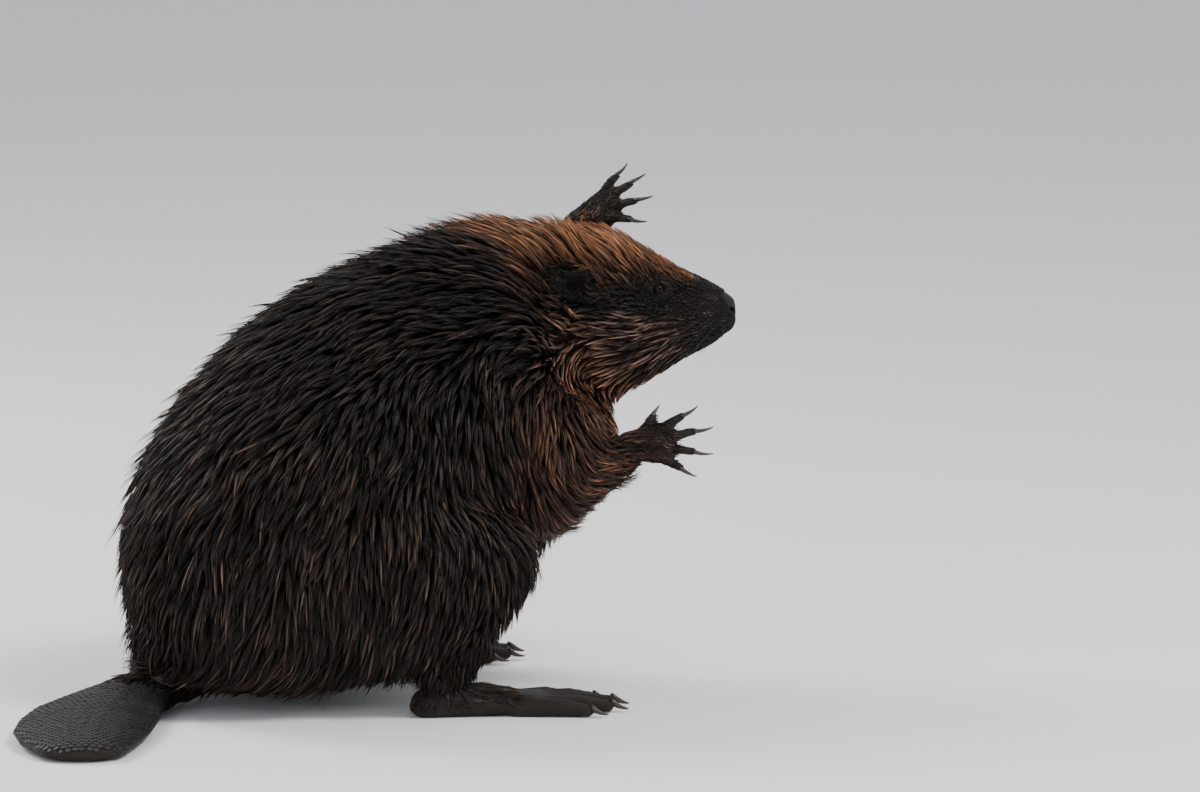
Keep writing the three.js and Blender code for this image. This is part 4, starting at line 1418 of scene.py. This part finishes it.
def claw_pattern(name, wide, high, arch):
    """A claw along x, rounder above than below, extruded ring by ring to a blunt tip."""
    deselect_all()
    bpy.ops.mesh.primitive_circle_add(vertices=CLAW_SIDES, radius=1, fill_type="NGON")
    pattern = bpy.context.object
    pattern.name = pattern.data.name = name
    along = np.append(np.linspace(0, 1, CLAW_STEPS), 1.03)
    girth = (0.4 + 0.6 * smooth_step(-0.08, 0.22, along)) * (1 - 0.76 * np.minimum(along, 1) ** 1.5)
    girth[-1] *= 0.4
    height = 4 * arch * along * (1 - along)
    flat = positions(pattern.data)
    rise = np.where(flat[:, 1] < 0, 0.6, 1.0) * flat[:, 1] * high
    move_to(pattern.data, np.column_stack((0 * rise, flat[:, 0] * wide, rise)) * girth[0] * MM)
    bpy.ops.object.mode_set(mode="EDIT")
    bpy.ops.mesh.select_all(action="SELECT")
    for i in range(1, len(along)):
        step = ((along[i] - along[i - 1]) * CLAW_LENGTH, 0, (height[i] - height[i - 1]) * MM)
        bpy.ops.mesh.extrude_region_move(TRANSFORM_OT_translate={"value": step})
        centre = (along[i] * CLAW_LENGTH, 0, height[i] * MM)
        narrower = girth[i] / girth[i - 1]
        bpy.ops.transform.resize(value=(1, narrower, narrower), center_override=centre)
    bpy.ops.mesh.select_all(action="SELECT")
    bpy.ops.mesh.normals_make_consistent(inside=False)
    bpy.ops.object.mode_set(mode="OBJECT")
    bpy.ops.object.shade_smooth()
    add_mask(pattern.data, "along", positions(pattern.data)[:, 0] / CLAW_LENGTH)
    return pattern


def claw_place(node):
    """Turns and stretches a pattern claw from a digit to the tip of its solid in the frame."""
    root, middle, tip = claw_line(node)
    arch = middle - (root + tip) / 2
    up = unit(arch) if np.linalg.norm(arch) > 0.3 * MM else np.array((0, 0, 1.0))
    start = root - unit(tip - root) * CLAW_SINK - up * CLAW_DROP[node[:4]]
    ahead = (tip - start) / CLAW_LENGTH
    across = unit(np.cross(up, ahead))
    up = unit(np.cross(ahead, across))
    columns = [(*axis, 0) for axis in (ahead, across, up)] + [(*start, 1)]
    return Matrix(columns).transposed()


def build_claws(bare):
    """Every claw, as a copy of its kind's pattern fitted to its solid in the frame."""
    material = claw_material(bare)
    patterns = {kind: claw_pattern(kind, *sizes) for kind, sizes in CLAW_PATTERNS.items()}
    for node in sorted(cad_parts):
        if node.startswith(("fore_claw", "hind_claw")):
            mesh = patterns[node[:4]].data.copy()
            mesh.name = node.replace("claw", "nail")
            mesh.transform(claw_place(node))
            mesh.update()
            finish_piece(new_piece(mesh.name, mesh), material, [node])
    for pattern in patterns.values():
        bpy.data.objects.remove(pattern)


# ---- the tail's scales ----------------------------------------------------------------------

SCALE_SEED = 5
TAIL_LINE = [  # x and y of points along the tail's middle
    (-206, -3), (-238, -11), (-281, -37), (-313, -82), (-336, -134), (-350, -188), (-362, -232),
]
TAIL_SAMPLE = 0.5  # between the points that the line is smoothed at
TAIL_SMOOTHING = 40  # how many of them are blended on each side
TAIL_STEP = 4.6  # from one row of scales to the next
TAIL_HALF = 62  # half the width that scales are tried over, wider than the paddle
SCALE_CORNERS = 8
SCALE_HEIGHTS = (2.2, 26)  # above the floor, where the paddle's upper side lies
LEAST_LEVEL = 0.72  # how level the skin is, at the least, where scales lie


def tail_rows():
    """Points along the tail's middle, a row apart, with the way along and the turn there."""
    line = np.array(TAIL_LINE, float)
    lengths = np.concatenate(([0], np.cumsum(np.linalg.norm(np.diff(line, axis=0), axis=1))))
    at = np.arange(0, lengths[-1], TAIL_SAMPLE)
    path = np.column_stack([np.interp(at, lengths, line[:, i]) for i in range(2)])
    kernel = np.hanning(2 * TAIL_SMOOTHING + 1)
    kernel /= kernel.sum()
    ends = ((TAIL_SMOOTHING, TAIL_SMOOTHING), (0, 0))
    padded = np.pad(path, ends, "reflect", reflect_type="odd")
    path = np.column_stack([np.convolve(padded[:, i], kernel, "valid") for i in range(2)])
    ahead = unit(np.gradient(path, axis=0))
    turn = np.gradient(np.unwrap(np.arctan2(ahead[:, 1], ahead[:, 0]))) / TAIL_SAMPLE
    step = int(TAIL_STEP / TAIL_SAMPLE)
    return zip(path[::step], ahead[::step], turn[::step])


def scale_shape(size, long, chance):
    """One scale's corners: its rim, its raised middle and the sunk foot under its rim."""
    angle = np.arange(SCALE_CORNERS) * 2 * math.pi / SCALE_CORNERS + math.pi / SCALE_CORNERS
    back = np.cos(angle)
    rim = np.column_stack((back * long * 0.62, np.sin(angle) * size * 0.53, 0.5 + 0.55 * back))
    rim[:, :2] *= chance.uniform(0.93, 1.07, (SCALE_CORNERS, 1))
    foot = rim * (0.96, 0.96, 0) - (0, 0, 1.2)
    return np.vstack((rim, [[0.1 * long, 0, 1.15]], foot))


def scale_faces():
    """One scale's faces: its top, the wall under its rim and its foot."""
    n = SCALE_CORNERS
    top = [(i, (i + 1) % n, n) for i in range(n)]
    wall = [(i, n + 1 + i, n + 1 + (i + 1) % n, (i + 1) % n) for i in range(n)]
    return [*top, *wall, tuple(range(2 * n, n, -1))]


def on_paddle(tree, over):
    """The paddle's upper side straight under a point, with its normal, or None beside it."""
    hit, normal, _, _ = tree.ray_cast(Vector(over), Vector((0, 0, -1)))
    if hit is None or normal.z < LEAST_LEVEL:
        return None
    low, high = SCALE_HEIGHTS
    if not low * MM <= hit.z <= high * MM or body_coordinates(np.array(hit))[0] > PADDLE_FROM[0]:
        return None
    return np.array(hit), np.array(normal)


def build_scales(bare, skin):
    """Rows of overlapping scales, each shifted by half a scale, as one piece."""
    chance = np.random.default_rng(SCALE_SEED)
    tree = surface_tree(skin.data)
    size = bare.scale_size / MM
    verts, faces, tones, places = [], [], [], []
    for row, (middle, ahead, turn) in enumerate(tail_rows()):
        left = np.array((-ahead[1], ahead[0]))
        for column in np.arange(-TAIL_HALF, TAIL_HALF, size * 0.94):
            across = column + (row % 2) * size * 0.47 + chance.normal(0, 0.25)
            long = TAIL_STEP * 1.45 * np.clip(1 - turn * across, 0.5, 1.6)
            over = middle + left * across + ahead * chance.normal(0, 0.2)
            found = on_paddle(tree, in_body((*over, 80)))
            if found is None:
                continue
            hit, normal = found
            back = along_surface(np.array((*ahead, 0.0))[None], normal[None])[0]
            side = np.cross(normal, back)
            rim = 0.5 + 0.5 * float(smooth_step(LEAST_LEVEL, 0.96, normal[2]))
            corners = scale_shape(size * rim, long * rim, chance) * (1, 1, rim)
            base = len(verts)
            spread = corners[:, :1] * back + corners[:, 1:2] * side
            verts += list(hit + (spread + corners[:, 2:] * normal) * MM)
            faces += [tuple(base + corner for corner in face) for face in scale_faces()]
            tones += [chance.random()] * len(corners)
            places += [(row * TAIL_STEP + x, across + y) for x, y in corners[:, :2]]
    verts = np.array(verts)
    verts[:, 2] = np.maximum(verts[:, 2], 0.2 * MM)
    mesh = bpy.data.meshes.new("tail_scales")
    mesh.from_pydata(verts.tolist(), [], faces)
    add_mask(mesh, "tone", tones)
    places = np.array(places)
    places = (places - places.min(0)) / np.ptp(places, axis=0)
    corner = np.empty(len(mesh.loops), np.int32)
    mesh.loops.foreach_get("vertex_index", corner)
    put(mesh.uv_layers.new(name="OFBake").uv, "vector", places[corner])
    piece = new_piece("tail_scales", mesh)
    only(piece)
    bpy.ops.object.shade_smooth_by_angle(angle=math.radians(50))
    finish_piece(piece, scale_material(bare))


# ---- whiskers -------------------------------------------------------------------------------

WHISKER_SEED = 3
WHISKER_LINKS = 5
WHISKER_WIDTH = 0.5 * MM
WHISKER_STEP = (-7, 2)  # back and outward, from one to the next in a row
# Where each row starts on the left of the muzzle or brow, how many it has and how long.
WHISKER_ROWS = [
    ((-13, 21, 2), 4, 38),
    ((-14, 22, -5), 5, 46),
    ((-15, 21, -12), 4, 40),
    ((-60, 26, 44), 2, 26),
]


def build_whiskers(coat, skin):
    """Long, thin, tapering whiskers that curve back and down from the muzzle and the brow."""
    chance = np.random.default_rng(WHISKER_SEED)
    tree = surface_tree(skin.data)
    share = np.linspace(0, 1, WHISKER_LINKS)[:, None]
    paths, facings = [], []
    for side in SIDES.values():
        for (x, y, z), count, length in WHISKER_ROWS:
            for i in range(count):
                along = x + i * WHISKER_STEP[0] + chance.normal(0, 0.8)
                start = (along, (y + i * WHISKER_STEP[1]) * side, z + chance.normal(0, 0.8))
                root, normal, _, _ = tree.find_nearest(Vector(in_head(start)))
                normal = np.array(normal)
                out = unit(HEAD_AXES @ mirrored((-0.75, 0.55, -0.12), side) + normal * 0.55)
                droop = HEAD_AXES @ mirrored((-0.5, -0.1, -0.45), side)
                reach = length * chance.uniform(0.75, 1.15) * MM
                bend = (out * share + droop * share ** 2 * 0.5) * reach
                paths.append(np.array(root) + bend - normal * MM)
                facings.append(np.tile(normal, (WHISKER_LINKS, 1)))
    paths, facings = np.array(paths), np.array(facings)
    masks = markings(paths[:, 0])
    masks["tone"] = np.full(len(paths), 0.45)
    batch = (paths, facings, np.full(len(paths), WHISKER_WIDTH), np.arange(len(paths)))
    finish_piece(strand_mesh("whiskers", [batch], masks), coat_material(coat))


# ---- the stage ------------------------------------------------------------------------------

LIT_MIDDLE = (0.02, 0.02, 0.2)
WORLD_COLOUR = (0.90, 0.91, 0.95, 1)
WORLD_STRENGTH = 0.9
AIM = (0, 0, 190)  # on the animal, in its own frame
AIM_SHIFT = (0.1394, 0.0529)  # metres from there to the middle of the view, right and up


def area_light(name, place, size, power, tint):
    light = bpy.data.lights.new(name, "AREA")
    light.shape = "DISK"
    light.size = size
    light.energy = power
    light.color = tint
    lamp = new_piece(name, light)
    lamp.location = place
    lamp.rotation_euler = (Vector(LIT_MIDDLE) - Vector(place)).to_track_quat("-Z", "Y").to_euler()


def lay_floor(stage):
    """A plain floor, a little under the soles."""
    deselect_all()
    bpy.ops.mesh.primitive_plane_add(size=40, location=(0, 0, -0.0005))
    floor = bpy.context.object
    floor.name = "floor"
    material, nodes, surface = new_material("floor", Roughness=0.9)
    grain = nodes.noise(nodes.place(), 3.0, 2.0)
    shade = nodes.mix(grain, colour(stage.floor_colour, 0.985), colour(stage.floor_colour))
    nodes.feed(surface, Base_Color=shade)
    floor.data.materials.append(material)


def hang_lights():
    """A pale studio with one warm key light, one behind and a cool fill."""
    world = bpy.data.worlds.new("studio")
    world.use_nodes = True
    sky = world.node_tree.nodes["Background"]
    sky.inputs["Color"].default_value = WORLD_COLOUR
    sky.inputs["Strength"].default_value = WORLD_STRENGTH
    bpy.context.scene.world = world
    area_light("key", (1.2, -1.6, 2.6), 0.9, 78, (1.0, 0.96, 0.90))
    area_light("back", (-1.5, 1.8, 2.2), 1.4, 68, (1.0, 0.98, 0.95))
    area_light("fill", (-2.2, -2.4, 1.2), 2.0, 32, (0.93, 0.96, 1.0))


def set_camera(stage):
    """A camera that looks at the animal from the stage's azimuth and elevation."""
    a, e = stage.azimuth, stage.elevation
    right = Vector((math.cos(a), math.sin(a), 0))
    back = Vector((math.sin(a) * math.cos(e), -math.cos(a) * math.cos(e), math.sin(e)))
    above = back.cross(right)
    camera = bpy.data.cameras.new("camera")
    camera.sensor_width = 36
    camera.lens = camera.sensor_width * stage.distance / stage.framed_width
    camera.clip_end = 100
    holder = new_piece("camera", camera)
    aim = Vector(in_body(AIM)) + right * AIM_SHIFT[0] + above * AIM_SHIFT[1]
    holder.location = aim + back * stage.distance
    holder.rotation_euler = Matrix((right, above, back)).transposed().to_euler()
    bpy.context.scene.camera = holder


def build_stage(stage):
    lay_floor(stage)
    hang_lights()
    set_camera(stage)


# ---- the add-on -----------------------------------------------------------------------------


class BEAVER_OT_stage(bpy.types.Operator):
    """Lay the floor, hang the lights and set up the camera"""

    bl_idname = "beaver.stage"
    bl_label = "Stage"

    def execute(self, context):
        build_stage(context.scene.beaver_stage)
        return {"FINISHED"}


class BEAVER_OT_skin(bpy.types.Operator):
    """Make one skin inside the frame's solids of flesh"""

    bl_idname = "beaver.skin"
    bl_label = "Skin"

    def execute(self, context):
        build_skin(context.scene.beaver_coat, context.scene.beaver_bare)
        return {"FINISHED"}


class BEAVER_OT_eyes(bpy.types.Operator):
    """Set both eyes between their lids"""

    bl_idname = "beaver.eyes"
    bl_label = "Eyes"

    def execute(self, context):
        build_eyes(context.scene.beaver_bare)
        return {"FINISHED"}


class BEAVER_OT_claws(bpy.types.Operator):
    """Shape the claws of all four paws"""

    bl_idname = "beaver.claws"
    bl_label = "Claws"

    def execute(self, context):
        build_claws(context.scene.beaver_bare)
        return {"FINISHED"}


class BEAVER_OT_tail(bpy.types.Operator):
    """Lay the scales over the tail's paddle"""

    bl_idname = "beaver.tail"
    bl_label = "Tail scales"

    def execute(self, context):
        build_scales(context.scene.beaver_bare, bpy.data.objects["skin"])
        return {"FINISHED"}


class BEAVER_OT_coat(bpy.types.Operator):
    """Grow the wet coat from the skin"""

    bl_idname = "beaver.coat"
    bl_label = "Coat"

    def execute(self, context):
        build_coat(context.scene.beaver_coat, bpy.data.objects["skin"])
        return {"FINISHED"}


class BEAVER_OT_whiskers(bpy.types.Operator):
    """Set the whiskers on muzzle and brow"""

    bl_idname = "beaver.whiskers"
    bl_label = "Whiskers"

    def execute(self, context):
        build_whiskers(context.scene.beaver_coat, bpy.data.objects["skin"])
        return {"FINISHED"}


STEPS = (
    BEAVER_OT_stage, BEAVER_OT_skin, BEAVER_OT_eyes, BEAVER_OT_claws, BEAVER_OT_tail,
    BEAVER_OT_coat, BEAVER_OT_whiskers,
)


class BEAVER_PT_panel(bpy.types.Panel):
    """Lists the steps that build the beaver"""

    bl_idname = "BEAVER_PT_panel"
    bl_label = "Beaver"
    bl_space_type = "VIEW_3D"
    bl_region_type = "UI"
    bl_category = "Beaver"

    def draw(self, context):
        for step in STEPS:
            self.layout.operator(step.bl_idname)


CLASSES = (BEAVER_PG_coat, BEAVER_PG_bare, BEAVER_PG_stage, *STEPS, BEAVER_PT_panel)


def register():
    for one in CLASSES:
        bpy.utils.register_class(one)
    bpy.types.Scene.beaver_coat = bpy.props.PointerProperty(type=BEAVER_PG_coat)
    bpy.types.Scene.beaver_bare = bpy.props.PointerProperty(type=BEAVER_PG_bare)
    bpy.types.Scene.beaver_stage = bpy.props.PointerProperty(type=BEAVER_PG_stage)


def unregister():
    del bpy.types.Scene.beaver_coat
    del bpy.types.Scene.beaver_bare
    del bpy.types.Scene.beaver_stage
    for one in reversed(CLASSES):
        bpy.utils.unregister_class(one)


def main():
    register()
    for step in STEPS:
        group, name = step.bl_idname.split(".")
        getattr(getattr(bpy.ops, group), name)()


if __name__ == "__main__":
    main()
